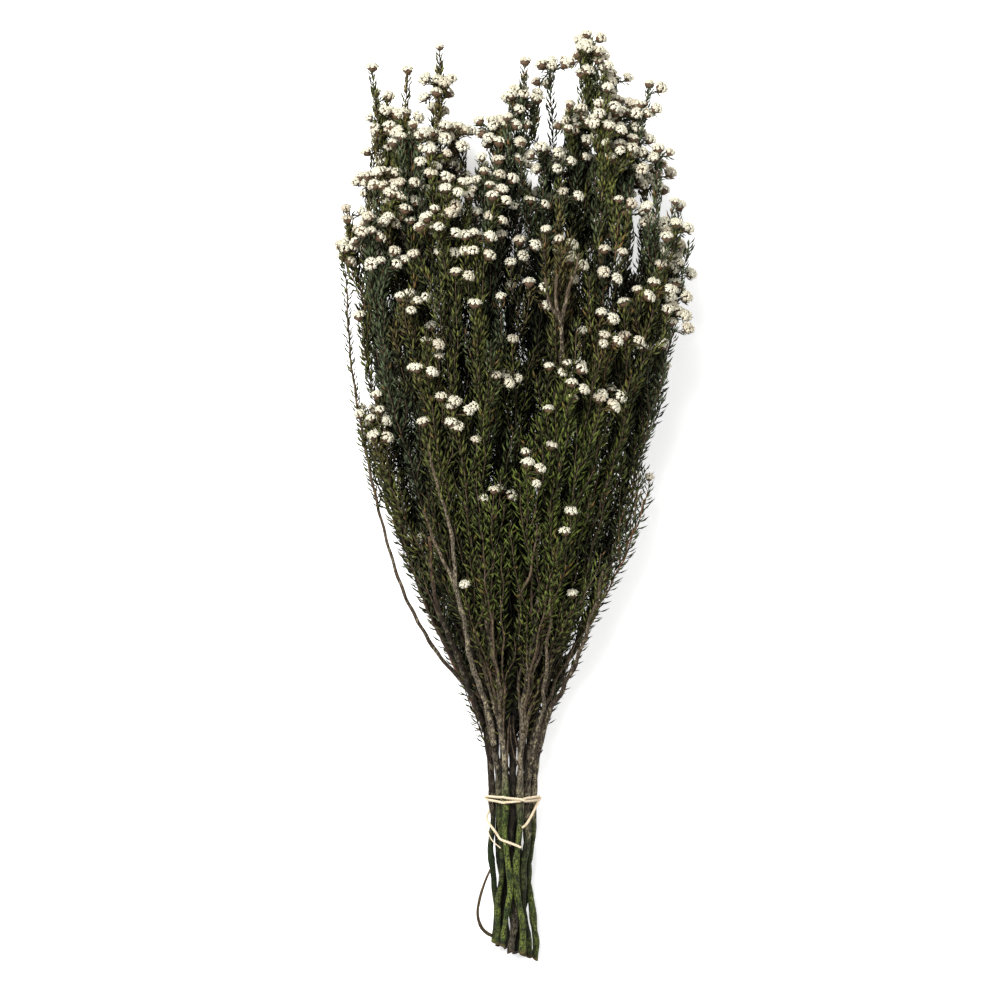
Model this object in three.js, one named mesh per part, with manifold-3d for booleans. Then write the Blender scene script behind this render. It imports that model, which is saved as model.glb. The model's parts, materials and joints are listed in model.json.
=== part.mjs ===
// A tied bunch of dried phylica. Twelve cut stems pass through a twine tie and fan out into leafy sprays that
// end in small domed flower heads. Millimetres, +Z up. The bunch lies on the plane z = 0 with its cut ends
// towards -Y. The layout below is worked out from the middle of the tie, and the whole is then moved so that
// the origin is under the middle of its box.
import * as THREE from 'three';
import { mergeVertices } from 'three/addons/utils/BufferGeometryUtils.js';
import Module from 'manifold-3d';

const solids = await Module();
solids.setup();

// The middle of the whole box, seen from the middle of the tie
const BOX_MIDDLE = { x: 1.85, y: 195.2 };

// The outline of the bunch. Each row gives y, half the width, half the height and the height of the middle.
const OUTLINE = [
  [-106, 16.5, 13.6, 13.0],
  [0, 17.5, 14.5, 19.0],
  [43, 24, 19, 23.5],
  [69, 34, 24, 28],
  [95, 48, 31, 35],
  [124, 62, 38, 42],
  [163, 74, 45, 49],
  [198, 82, 50, 54],
  [257, 93, 57, 61],
  [328, 104, 62, 66],
  [360, 107, 64, 68],
  [420, 107, 63, 68],
  [500, 104, 60, 68],
];

// The twelve stems. u and v place a stem in the outline, from -1 to 1 across and up. Each spray is
// [u, v, y of its tip, number of flower heads in its cluster]. The first spray is the stem's own leader.
const STEMS = [
  { name: 'stem_01', u: -0.50, v: -0.74, foot: -98, radius: 3.3, sprays: [
    [-0.60, -0.70, 402, 3], [-0.34, -0.86, 352, 2], [-0.80, -0.52, 330, 2], [-0.50, -0.84, 262, 1]] },
  { name: 'stem_02', u: 0.00, v: -0.74, foot: -103, radius: 3.6, sprays: [
    [-0.06, -0.76, 408, 3], [0.14, -0.90, 352, 2], [-0.12, -0.88, 290, 1], [0.06, -0.80, 222, 1]] },
  { name: 'stem_03', u: 0.50, v: -0.74, foot: -105, radius: 3.2, sprays: [
    [0.56, -0.68, 418, 3], [0.36, -0.86, 362, 2], [0.80, -0.52, 338, 2], [0.52, -0.84, 266, 1]] },
  { name: 'stem_04', u: -0.76, v: -0.25, foot: -95, radius: 3.0, sprays: [
    [-0.96, -0.10, 362, 3], [-0.87, -0.34, 398, 2], [-0.97, 0.06, 306, 1], [-0.92, -0.22, 248, 2],
    [-0.94, 0.12, 190, 0]] },
  { name: 'stem_05', u: -0.27, v: -0.33, foot: -99, radius: 3.4, sprays: [
    [-0.44, -0.14, 462, 4], [-0.34, -0.44, 430, 3], [-0.66, -0.30, 438, 3], [-0.24, -0.55, 372, 2]] },
  { name: 'stem_06', u: 0.26, v: -0.25, foot: -102, radius: 3.5, sprays: [
    [0.45, -0.16, 488, 3], [0.24, -0.26, 472, 3], [0.62, -0.34, 464, 3], [0.36, -0.52, 418, 2],
    [0.20, -0.50, 366, 2]] },
  { name: 'stem_07', u: 0.76, v: -0.25, foot: -106, radius: 3.1, sprays: [
    [0.97, -0.08, 366, 3], [0.86, -0.30, 402, 3], [0.98, 0.14, 322, 2], [0.92, -0.38, 284, 1],
    [0.96, 0.06, 196, 0]] },
  { name: 'stem_08', u: -0.50, v: 0.25, foot: -96, radius: 3.3, sprays: [
    [-0.78, 0.12, 436, 4], [-0.60, 0.30, 424, 4], [-0.86, 0.42, 366, 3], [-0.88, 0.34, 240, 3],
    [-0.62, 0.52, 318, 2]] },
  { name: 'stem_09', u: -0.02, v: 0.33, foot: -101, radius: 3.6, sprays: [
    [0.03, 0.06, 448, 4], [-0.12, 0.20, 430, 3], [0.19, 0.14, 412, 3], [-0.24, 0.42, 396, 3],
    [0.04, 0.50, 352, 2]] },
  { name: 'stem_10', u: 0.50, v: 0.25, foot: -104, radius: 3.2, sprays: [
    [0.74, 0.12, 438, 4], [0.86, 0.24, 412, 3], [0.52, 0.32, 440, 3], [0.62, 0.50, 378, 2],
    [0.86, 0.44, 326, 2]] },
  { name: 'stem_11', u: -0.26, v: 0.74, foot: -97, radius: 3.0, sprays: [
    [-0.42, 0.64, 384, 3], [-0.22, 0.74, 356, 3], [-0.56, 0.74, 288, 2], [-0.38, 0.86, 234, 1],
    [-0.16, 0.94, 194, 1], [-0.44, 0.82, 134, 1]] },
  { name: 'stem_12', u: 0.26, v: 0.74, foot: -100, radius: 2.9, sprays: [
    [0.28, 0.66, 352, 3], [0.54, 0.70, 306, 2], [0.33, 0.84, 274, 3], [0.10, 0.90, 218, 1],
    [0.42, 0.88, 168, 1], [0.56, 0.74, 128, 1]] },
];
// A stem's thickness along its length, as a share of its radius at the foot
const STEM_TAPER = [[-106, 1.0], [0, 0.92], [60, 0.84], [120, 0.66], [200, 0.46], [300, 0.32], [500, 0.22]];
const STEM_SIDES = 5;
const STEM_STATIONS = [-55, -14, 12, 40, 66, 94, 130, 172];
const FOOT_SLANT = 0.45;
const COLLAR = 12; // a spray's root comes out this far above the middle of its collar on the stem
const LEADER_FROM = 0.50; // share of the tip's height where the leader takes over from the stem
const LEADER_LEAFY_FROM = 0.08;

// Sprays leave the stem one above the other and turn along it.
const FIRST_FORK = 52;
const FORK_STEP = 27;
const SHORTEST_SPRAY = 96;
const SPRAY_BEND = 1.7;
const LEAST_ROOT = 1.25;
const ROOT_THINNING = 0.62;
const SPRAY_LEAFY_FROM = 0.46;
const LEAFY_RADIUS = 0.8;
const TIP_RADIUS = 0.7;

// Side shoots on the sprays. Low on a spray they are long and leafy, and near its top short and in flower.
// place is a share of the spray's length, and spread is how far a shoot stands off as a share of its own.
const LEAFY_SHOOTS = { most: 2, place: [0.46, 0.70], length: [42, 62], spread: 0.27, flower: 0.34 };
const FLOWER_SHOOTS = { most: 2, place: [0.72, 0.88], length: [20, 32], spread: 0.44, flower: 1 };
const SHORT_SPRAY = 150;
const GOLDEN_TURN = 2.399963;
const SHOOT_TRIES = 16;

// Needles stand in whorls of six. NEEDLE_TILT is the angle between a needle and its shoot.
const NEEDLE_LENGTH = 5.2;
const NEEDLE_TILT = 0.56;
const WHORL_STEP = 54;
const WHORL = 8;
const WOODY_STEP = 46;
const FACE_REACH = 60; // how far along a stem or spray a branch may look for the face that it leaves from

// Flower heads: a shallow cup with a dome of pointed florets
const HEAD_RADIUS = 4.2;
const HEAD_DOME = 1.5;
const FLORET_HEIGHT = 1.7;
const TOP_FLORETS = 5;
const SIDE_FLORETS = 4;
const NECK = 4;
const TOP_HEAD = { alone: 4, inCrowd: 7 }; // how far the top head of a cluster stands over its neck
const LOW_HEADS = { up: 5, out: 10.2 };
const HIGH_HEADS = { up: 8.5, out: 8.6 };
const HEAD_LEAN = 0.69; // the angle that a side head leans out by

// A thin dry twig bows out from the foot of the left stem. Its middle line from the tie's middle, in mm.
const DRY_TWIG = { stem: 'stem_04', from: -44, line: [[-19.2, -55], [-22.6, -69], [-21.6, -78], [-19.4, -84]] };
const DRY_TWIG_RADIUS = 0.75;

// Clearances between one stem's parts and another's
const GAP = 0.5;
const ROOT_SHARE = 0.4;
const OUT_OF_STEM = 0.4;
const LEAFY_ROOM = 1.7;
const HEAD_ROOM = 4.9;
const NEEDLE_ROOM = 3.5;

// Twine of the tie
const TWINE_RADIUS = 0.9;
const TWINE_SIDES = 4;
const TWINE_STEPS = 22;
const TWINE_BOW = { least: 0.55, most: 2.3 }; // half the gap between the two turns, at the sides and in front
const TWINE_LIFT = 0.5;
// The twine's two loose ends run over the bundle. Each one goes from one angle round the bundle to another and
// from one y to another, and sags by the last value on the way.
const LOOSE_ENDS = [
  { angles: [0.05, 1.25], ys: [0, -19], sag: -2 },
  { angles: [3.2, 1.5], ys: [-1, -31], sag: -9 },
];
const LOOSE_STEPS = 9;
const LOOSE_RISE = { root: 0.1, end: 1.3 };

// Two lower sprays sag to the surface, so that the bunch rests on them and on one foot.
const RESTS = [
  { stem: 'stem_01', spray: 1, y: 276 },
  { stem: 'stem_03', spray: 1, y: 284 },
];
const REST_SPAN = 70;
const REST_HEIGHT = 0.3;

const vec = (x, y, z) => new THREE.Vector3(x, y, z);

// Reads one column of a table at y, as a smooth curve through its rows.
function readTable(table, column, y) {
  const last = table.length - 1;
  if (y <= table[0][0]) return table[0][column];
  if (y >= table[last][0]) return table[last][column];
  let i = 0;
  while (table[i + 1][0] < y) i += 1;
  const slope = (k) => {
    const low = table[Math.max(k - 1, 0)];
    const high = table[Math.min(k + 1, last)];
    return (high[column] - low[column]) / (high[0] - low[0]);
  };
  const step = table[i + 1][0] - table[i][0];
  const t = (y - table[i][0]) / step;
  const t2 = t * t;
  const t3 = t2 * t;
  return (2 * t3 - 3 * t2 + 1) * table[i][column] + (t3 - 2 * t2 + t) * step * slope(i)
    + (3 * t2 - 2 * t3) * table[i + 1][column] + (t3 - t2) * step * slope(i + 1);
}

function inOutline(u, v, y) {
  return vec(
    readTable(OUTLINE, 1, y) * u,
    y,
    readTable(OUTLINE, 3, y) + readTable(OUTLINE, 2, y) * v,
  );
}

// A repeatable stream of numbers from 0 to 1
function seeded(seed) {
  let state = seed >>> 0;
  return () => {
    state = (Math.imul(state, 1664525) + 1013904223) >>> 0;
    return state / 4294967296;
  };
}

const smooth = (t) => t * t * (3 - 2 * t);

// Paths. Each one is a curve from t = 0 at its root to t = 1 at its tip.
function stemPlace(stem, y) {
  const [u, v, top] = stem.sprays[0];
  const share = Math.max(y, 0) / top;
  const out = Math.pow(share, 1.15);
  return [stem.u + (u - stem.u) * out, stem.v + (v - stem.v) * out];
}

function stemPoint(stem, y) {
  const [u, v] = stemPlace(stem, y);
  const point = inOutline(u, v, y);
  const free = smooth(Math.min(Math.max(y / 90, 0), 1));
  point.x += stem.sway * free * Math.sin(y / 42 + stem.phase);
  point.z += 0.7 * stem.sway * free * Math.sin(y / 36 + 2 * stem.phase);
  return point;
}

const stemRadius = (stem, y) => stem.radius * readTable(STEM_TAPER, 1, y);

function leaderAxis(stem) {
  const top = stem.sprays[0][2];
  const from = top * LEADER_FROM;
  return {
    stem,
    shoots: [],
    heads: stem.sprays[0][3],
    rootRadius: stemRadius(stem, from),
    leafyFrom: LEADER_LEAFY_FROM,
    outFrom: LEADER_LEAFY_FROM,
    free: 0,
    length: top - from,
    at: (t) => stemPoint(stem, from + (top - from) * t),
  };
}

function sprayAxis(stem, order, from, nudge) {
  const [u, v, top, heads] = stem.sprays[order];
  const root = stemPlace(stem, from);
  const drift = stemPoint(stem, from).sub(inOutline(root[0], root[1], from));
  const rest = RESTS.find((one) => one.stem === stem.name && one.spray === order);
  const rootRadius = Math.max(LEAST_ROOT, ROOT_THINNING * stemRadius(stem, from));
  const at = (t) => {
    const y = from + (top - from) * t;
    const out = 1 - Math.pow(1 - t, SPRAY_BEND);
    const point = inOutline(
      root[0] + (u + nudge[0] - root[0]) * out,
      root[1] + (v + nudge[1] - root[1]) * out,
      y,
    );
    point.addScaledVector(drift, 1 - t);
    if (rest) {
      const near = Math.min(Math.abs(y - rest.y) / REST_SPAN, 1);
      point.z += (REST_HEIGHT - point.z) * smooth(1 - near);
    }
    return point;
  };
  let outFrom = 0.02;
  const apart = (t) => {
    const y = from + (top - from) * t;
    return at(t).distanceTo(stemPoint(stem, y)) - stemRadius(stem, y) - rootRadius;
  };
  while (outFrom < SPRAY_LEAFY_FROM - 0.06 && apart(outFrom) < OUT_OF_STEM) outFrom += 0.01;
  return {
    stem,
    shoots: [],
    heads,
    rootRadius,
    leafyFrom: SPRAY_LEAFY_FROM,
    outFrom,
    free: outFrom + 0.08,
    length: top - from,
    from,
    at,
  };
}

function frameAt(axis, t) {
  const low = Math.max(t - 0.01, 0);
  const high = Math.min(t + 0.01, 1);
  const along = axis.at(high).sub(axis.at(low)).normalize();
  const up = vec(0, 0, 1).addScaledVector(along, -along.z).normalize();
  return { point: axis.at(t), along, up, side: along.clone().cross(up) };
}

function around(frame, angle) {
  return frame.up.clone().multiplyScalar(Math.cos(angle)).addScaledVector(frame.side, Math.sin(angle));
}

function shootAxis(parent, place, angle, length, spread, heads) {
  const root = frameAt(parent, place);
  const out = around(root, angle);
  const lift = root.along.clone().multiplyScalar(0.6).add(vec(0, 0.4, 0)).normalize();
  return {
    stem: parent.stem,
    parent,
    place,
    out,
    shoots: [],
    heads,
    rootRadius: LEAFY_RADIUS,
    leafyFrom: 0.1,
    outFrom: 0.1,
    free: ROOT_SHARE,
    length,
    at: (t) => root.point.clone()
      .addScaledVector(lift, length * t)
      .addScaledVector(out, length * spread * (1 - Math.pow(1 - t, 1.8))),
  };
}

// Where the flower heads of a cluster sit: one on the tip and the others round it
function headsOf(axis) {
  if (axis.heads < 1) return [];
  const tip = frameAt(axis, 1);
  const sideHeads = axis.heads - 1;
  const found = [{
    centre: tip.point.clone()
      .addScaledVector(tip.along, NECK + (sideHeads > 2 ? TOP_HEAD.inCrowd : TOP_HEAD.alone)),
    facing: tip.along.clone(),
    out: null,
  }];
  for (let i = 0; i < sideHeads; i += 1) {
    const spot = sideHeads > 3 ? i : (2 * i) % 6;
    const step = spot % 2 === 0 ? LOW_HEADS : HIGH_HEADS;
    const out = around(tip, ((spot + 1) * Math.PI) / 3);
    found.push({
      centre: tip.point.clone().addScaledVector(tip.along, step.up).addScaledVector(out, step.out),
      facing: tip.along.clone().multiplyScalar(Math.cos(HEAD_LEAN)).addScaledVector(out, Math.sin(HEAD_LEAN)),
      out,
    });
  }
  return found;
}

// What is already standing, as points with room round them
const standing = [];

function pointsOf(axis) {
  const count = Math.ceil(axis.length / 3);
  const points = [];
  for (let i = 0; i <= count; i += 1) {
    const t = i / count;
    const woody = axis.rootRadius + (LEAFY_RADIUS - axis.rootRadius) * Math.min(t / axis.leafyFrom, 1);
    const room = t < axis.leafyFrom ? woody : LEAFY_ROOM;
    points.push({ point: axis.at(t), room, leafy: t >= axis.leafyFrom, t, axis, stem: axis.stem });
  }
  for (const head of headsOf(axis)) {
    points.push({ point: head.centre, room: HEAD_ROOM, t: 1, axis, stem: axis.stem });
  }
  return points;
}

// How far the tightest pair falls short of its clearance. Zero or less is clear. Near its root a branch may
// touch its own stem.
function crowding(points, axis) {
  let worst = -Infinity;
  for (const mine of points) {
    for (const other of standing) {
      if (other.stem === axis.stem && mine.t < axis.free) continue;
      const need = mine.room + other.room + GAP;
      const dy = Math.abs(mine.point.y - other.point.y);
      if (dy > need) continue;
      worst = Math.max(worst, need - mine.point.distanceTo(other.point));
    }
  }
  return worst;
}

// Takes the first way of growing that is clear of the other stems, or else the least crowded.
function growClear(ways) {
  let best = null;
  for (const way of ways) {
    const points = pointsOf(way);
    const worst = crowding(points, way);
    if (best === null || worst < best.worst) best = { way, points, worst };
    if (worst <= 0) break;
  }
  return best;
}

function addShoots(spray, kind, count, start, random) {
  for (let k = 0; k < count; k += 1) {
    const place = kind.place[0] + ((kind.place[1] - kind.place[0]) * (k + 0.8 * random())) / count;
    const turn = GOLDEN_TURN * (2 * k + start) + random();
    const length = kind.length[0] + (kind.length[1] - kind.length[0]) * random();
    const reach = Math.min(spray.at(place).y / 330, 1);
    const flowers = random() < kind.flower * (0.4 + 0.6 * reach);
    const heads = flowers ? 1 + Math.floor(2.4 * random() * reach) : 0;
    const ways = [];
    for (let j = 0; j < SHOOT_TRIES; j += 1) {
      ways.push(shootAxis(spray, place, turn + GOLDEN_TURN * j, length * (1 - 0.02 * j), kind.spread, heads));
    }
    const found = growClear(ways);
    if (found.worst > 0) continue;
    spray.shoots.push(found.way);
    standing.push(...found.points);
  }
}

function layOut() {
  const axes = [];
  STEMS.forEach((stem, i) => {
    const random = seeded(101 + 7 * i);
    stem.sway = 1.2 + 1.3 * random();
    stem.phase = 6.28 * random();
    const top = stem.sprays[0][2] * LEADER_FROM;
    for (let y = stem.foot; y <= top; y += 3) {
      standing.push({ point: stemPoint(stem, y), room: stemRadius(stem, y), stem });
    }
    const leader = leaderAxis(stem);
    axes.push(leader);
    standing.push(...pointsOf(leader));
  });
  STEMS.forEach((stem) => {
    for (let order = 1; order < stem.sprays.length; order += 1) {
      const top = stem.sprays[order][2];
      const from = Math.min(FIRST_FORK + FORK_STEP * (order - 1), top - SHORTEST_SPRAY);
      const ways = [sprayAxis(stem, order, from, [0, 0])];
      for (let k = 0; k < 40; k += 1) {
        const far = 0.02 + 0.005 * k;
        const nudge = [far * Math.cos(k * GOLDEN_TURN), far * Math.sin(k * GOLDEN_TURN)];
        ways.push(sprayAxis(stem, order, from + 8 * (k % 4), nudge));
      }
      const found = growClear(ways);
      axes.push(found.way);
      standing.push(...found.points);
    }
  });
  axes.forEach((spray, i) => {
    const random = seeded(5003 + 31 * i);
    const short = spray.length < SHORT_SPRAY ? 1 : 0;
    addShoots(spray, LEAFY_SHOOTS, LEAFY_SHOOTS.most - short, i, random);
    addShoots(spray, FLOWER_SHOOTS, Math.min(FLOWER_SHOOTS.most, spray.heads), i + 0.5, random);
  });
  return axes;
}

// A closed skin of triangles that grows ring by ring and has points raised from its faces
class Skin {
  constructor() {
    this.points = [];
    this.faces = [];
  }

  point(place) {
    this.points.push(place.clone());
    return this.points.length - 1;
  }

  ring(frame, radius, sides, turn) {
    const found = [];
    for (let i = 0; i < sides; i += 1) {
      const angle = turn + (i * 2 * Math.PI) / sides;
      found.push(this.point(frame.point.clone().addScaledVector(around(frame, angle), radius)));
    }
    return found;
  }

  face(a, b, c) {
    this.faces.push([a, b, c]);
    return this.faces.length - 1;
  }

  // Stands a point on a face.
  raise(index, place) {
    const [a, b, c] = this.faces[index];
    const tip = this.point(place);
    this.faces[index] = [a, b, tip];
    this.face(b, c, tip);
    this.face(c, a, tip);
  }

  // Joins a lower loop to an upper one, both running the same way round, by the shortest set of edges in turn.
  bridge(low, high) {
    let best = null;
    for (let start = 0; start < high.length; start += 1) {
      const steps = [];
      let total = 0;
      let i = 0;
      let j = 0;
      while (i < low.length || j < high.length) {
        const a = low[i % low.length];
        const b = high[(start + j) % high.length];
        total += this.points[a].distanceTo(this.points[b]);
        if ((i + 1) * high.length <= (j + 1) * low.length) {
          i += 1;
          steps.push([a, low[i % low.length], b]);
        } else {
          j += 1;
          steps.push([a, high[(start + j) % high.length], b]);
        }
      }
      if (best === null || total < best.total) best = { total, steps };
    }
    return best.steps.map((corners) => this.face(...corners));
  }

  cap(loop, outward) {
    if (loop.length === 3) {
      if (outward) this.face(loop[0], loop[1], loop[2]);
      else this.face(loop[0], loop[2], loop[1]);
      return;
    }
    const middle = vec(0, 0, 0);
    loop.forEach((one) => middle.addScaledVector(this.points[one], 1 / loop.length));
    const centre = this.point(middle);
    loop.forEach((one, k) => {
      const next = loop[(k + 1) % loop.length];
      if (outward) this.face(one, next, centre);
      else this.face(next, one, centre);
    });
  }

  solid() {
    const geometry = new THREE.BufferGeometry();
    const flat = this.points.flatMap((one) => [one.x, one.y, one.z]);
    geometry.setAttribute('position', new THREE.Float32BufferAttribute(flat, 3));
    geometry.setIndex(this.faces.flat());
    return toSolid(geometry);
  }
}

function toSolid(geometry) {
  const plain = geometry.clone();
  plain.deleteAttribute('normal');
  plain.deleteAttribute('uv');
  const merged = mergeVertices(plain, 1e-5);
  return new solids.Manifold(new solids.Mesh({
    numProp: 3,
    vertProperties: new Float32Array(merged.attributes.position.array),
    triVerts: new Uint32Array(merged.index.array),
  }));
}

function toGeometry(solid) {
  const mesh = solid.getMesh();
  const geometry = new THREE.BufferGeometry();
  geometry.setAttribute('position', new THREE.BufferAttribute(new Float32Array(mesh.vertProperties), 3));
  geometry.setIndex(new THREE.BufferAttribute(new Uint32Array(mesh.triVerts), 1));
  return geometry;
}

// A flower head on a loop of the skin: a cup that widens to the rim and a dome with a floret on each face
function growHead(skin, loop, head, florets) {
  const up = vec(0, 0, 1).addScaledVector(head.facing, -head.facing.z).normalize();
  const frame = { point: head.centre, along: head.facing, up, side: head.facing.clone().cross(up) };
  const rim = skin.ring(frame, HEAD_RADIUS, florets, 0);
  skin.bridge(loop, rim);
  const crown = skin.point(head.centre.clone().addScaledVector(head.facing, HEAD_DOME));
  rim.forEach((one, k) => {
    const next = rim[(k + 1) % florets];
    const middle = skin.points[one].clone().add(skin.points[next]).add(skin.points[crown]).divideScalar(3);
    const out = middle.clone().sub(head.centre).addScaledVector(head.facing, 2).normalize();
    const bump = skin.face(one, next, crown);
    skin.raise(bump, middle.addScaledVector(out, FLORET_HEIGHT));
  });
}

function needleClear(place, axis) {
  for (const other of standing) {
    if (other.axis === axis) continue;
    let need = other.room + GAP;
    if (other.leafy) need = NEEDLE_ROOM;
    if (Math.abs(other.point.y - place.y) > need) continue;
    if (other.point.distanceTo(place) < need) return false;
  }
  return place.z > REST_HEIGHT;
}

// The way that a face of the skin looks, square to the shoot it is on
function facing(skin, corners, frame) {
  const middle = vec(0, 0, 0);
  corners.forEach((one) => middle.addScaledVector(skin.points[one], 1 / corners.length));
  const out = middle.sub(frame.point);
  return out.addScaledVector(frame.along, -out.dot(frame.along)).normalize();
}

// Takes the face that looks most nearly the wanted way out of a list, and opens the skin there.
function openFace(skin, list, wanted, place) {
  let best = null;
  for (const one of list) {
    const fit = one.out.dot(wanted) - Math.abs(one.place - place) / FACE_REACH;
    if (best === null || fit > best.fit) best = { one, fit };
  }
  list.splice(list.indexOf(best.one), 1);
  const loop = skin.faces[best.one.face];
  skin.faces[best.one.face] = null;
  return loop;
}

// Where the rings of an axis lie: its woody root, then short stretches that carry a whorl of needles each
function stationsOf(axis) {
  const bare = (axis.leafyFrom - axis.outFrom) * axis.length;
  const woody = Math.round(bare / WOODY_STEP);
  const stations = [];
  for (let i = 0; i < woody; i += 1) {
    stations.push(axis.outFrom + ((axis.leafyFrom - axis.outFrom) * i) / woody);
  }
  stations.push(axis.leafyFrom);
  const stretch = 1 - axis.leafyFrom;
  const whorls = Math.max(1, Math.round((stretch * axis.length) / WHORL_STEP));
  const tops = [];
  for (let i = 1; i <= whorls; i += 1) {
    const top = axis.leafyFrom + (stretch * i) / whorls;
    tops.push(stations.length);
    stations.push(top - WHORL / axis.length, top);
  }
  return { stations, tops };
}

function radiusOf(axis, t) {
  if (t < axis.leafyFrom) return axis.rootRadius + (LEAFY_RADIUS - axis.rootRadius) * (t / axis.leafyFrom);
  return LEAFY_RADIUS + ((TIP_RADIUS - LEAFY_RADIUS) * (t - axis.leafyFrom)) / (1 - axis.leafyFrom);
}

// The faces between two rings of an axis, each with the way it looks and where a needle on it would end
function facesBetween(skin, axis, rings, stations, k) {
  const from = stations[k];
  const to = stations[k + 1];
  return skin.bridge(rings[k], rings[k + 1]).map((face) => {
    const corners = skin.faces[face];
    const upper = corners.filter((one) => rings[k + 1].includes(one)).length === 2;
    const middle = from + (to - from) * (upper ? 0.67 : 0.33);
    const out = facing(skin, corners, frameAt(axis, middle));
    const foot = frameAt(axis, upper ? to : (from + to) / 2);
    const tip = foot.point.clone()
      .addScaledVector(foot.along, NEEDLE_LENGTH * Math.cos(NEEDLE_TILT))
      .addScaledVector(out, LEAFY_RADIUS * 0.5 + NEEDLE_LENGTH * Math.sin(NEEDLE_TILT));
    return { face, out, tip, upper, place: middle * axis.length };
  });
}

// Grows a leader, spray or side shoot from an open loop of the skin: its woody root, a leafy stretch with its
// side shoots and whorls of raised needles, then the flower heads.
function growAxis(skin, axis, loop) {
  const { stations, tops } = stationsOf(axis);
  const last = stations.length - 1;
  const rings = stations.map((t, k) => {
    const turn = ((last - k) % 2) * (Math.PI / 3);
    return skin.ring(frameAt(axis, t), radiusOf(axis, t), 3, turn);
  });
  skin.bridge(loop, rings[0]);
  const bare = [];
  const leafy = [];
  for (let k = 0; k < last; k += 1) {
    const faces = facesBetween(skin, axis, rings, stations, k);
    if (tops.includes(k)) leafy.push(...faces.map((one) => ({ ...one, last: k + 1 === last })));
    else bare.push(...faces);
  }
  for (const shoot of axis.shoots) {
    growAxis(skin, shoot, openFace(skin, bare, shoot.out, shoot.place * axis.length));
  }
  for (const spot of leafy) {
    const crowded = spot.upper && spot.last && axis.heads > 1;
    if (!crowded && needleClear(spot.tip, axis)) skin.raise(spot.face, spot.tip);
  }
  growTop(skin, axis, rings[last]);
}

function growTop(skin, axis, ring) {
  const end = frameAt(axis, 1);
  const heads = headsOf(axis);
  if (heads.length === 0) {
    const tip = skin.point(end.point.clone().addScaledVector(end.along, NEEDLE_LENGTH));
    ring.forEach((one, k) => skin.face(one, ring[(k + 1) % 3], tip));
    return;
  }
  if (heads.length === 1) {
    growHead(skin, ring, heads[0], TOP_FLORETS);
    return;
  }
  end.point.addScaledVector(end.along, NECK);
  const neck = skin.ring(end, TIP_RADIUS, 3, Math.PI / 3);
  const sides = skin.bridge(ring, neck)
    .map((face) => ({ face, out: facing(skin, skin.faces[face], end), place: 0 }));
  for (const head of heads) {
    const loop = head.out ? openFace(skin, sides, head.out, 0) : neck;
    growHead(skin, loop, head, head.out ? SIDE_FLORETS : TOP_FLORETS);
  }
}

function growDryTwig(skin, stem, faces) {
  const line = DRY_TWIG.line.map(([x, y]) => vec(x, y, stemPoint(stem, y).z));
  let loop = openFace(skin, faces, vec(-1, 0, 0), DRY_TWIG.from);
  line.forEach((point, k) => {
    const along = (line[k + 1] ?? point).clone().sub(line[k - 1] ?? stemPoint(stem, DRY_TWIG.from)).normalize();
    const up = vec(0, 0, 1).addScaledVector(along, -along.z).normalize();
    const frame = { point, along, up, side: along.clone().cross(up) };
    const ring = skin.ring(frame, DRY_TWIG_RADIUS, 3, (k % 2) * (Math.PI / 3));
    skin.bridge(loop, ring);
    loop = ring;
  });
  skin.cap(loop, true);
}

// One whole stem, from its slanted cut to its last flower head, in one skin
function growStem(stem) {
  const skin = new Skin();
  const top = stem.sprays[0][2] * LEADER_FROM;
  const heights = [stem.foot, ...STEM_STATIONS.filter((y) => y < top - 12), top];
  const frameOn = (y) => {
    const along = stemPoint(stem, y + 1).sub(stemPoint(stem, y - 1)).normalize();
    const up = vec(0, 0, 1).addScaledVector(along, -along.z).normalize();
    return { point: stemPoint(stem, y), along, up, side: along.clone().cross(up) };
  };
  const rings = heights.map((y) => skin.ring(frameOn(y), stemRadius(stem, y), STEM_SIDES, stem.phase));
  rings[0].forEach((one) => {
    const place = skin.points[one];
    place.y += FOOT_SLANT * (stemPoint(stem, stem.foot).z - place.z) * Math.sin(stem.phase);
  });
  skin.cap(rings[0], false);
  const faces = [];
  for (let k = 1; k < rings.length; k += 1) {
    const place = (heights[k - 1] + heights[k]) / 2;
    for (const face of skin.bridge(rings[k - 1], rings[k])) {
      faces.push({ face, place, out: facing(skin, skin.faces[face], frameOn(place)) });
    }
  }
  if (stem.name === DRY_TWIG.stem) growDryTwig(skin, stem, faces);
  const [leader, ...sprays] = axes.filter((axis) => axis.stem === stem);
  growAxis(skin, leader, rings[rings.length - 1]);
  for (const spray of sprays) {
    const start = spray.at(spray.outFrom);
    const frame = frameOn(start.y);
    const wanted = start.clone().sub(frame.point);
    wanted.addScaledVector(frame.along, -wanted.dot(frame.along)).normalize();
    growAxis(skin, spray, openFace(skin, faces, wanted, start.y - COLLAR));
  }
  skin.faces = skin.faces.filter((face) => face !== null);
  return skin.solid();
}

// Everything under the surface is cut off flat, and a scrap that the cut frees is dropped.
function trimFlat(solid) {
  const depth = 20;
  const slab = new THREE.BoxGeometry(400, 900, depth);
  slab.translate(0, BOX_MIDDLE.y, -depth / 2);
  const bodies = solid.subtract(toSolid(slab)).decompose();
  return bodies.reduce((best, body) => (body.volume() > best.volume() ? body : best));
}

// The point on the bundle's outside at an angle, where twine of the given radius touches it
function onBundle(angle, y, lift) {
  const out = vec(Math.cos(angle), 0, Math.sin(angle));
  let best = null;
  for (const stem of STEMS) {
    const centre = stemPoint(stem, y);
    const reach = centre.dot(out) + stemRadius(stem, y);
    if (best === null || reach > best.reach) best = { reach, centre, radius: stemRadius(stem, y) };
  }
  return best.centre.clone().addScaledVector(out, best.radius + lift);
}

const axes = layOut();

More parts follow.
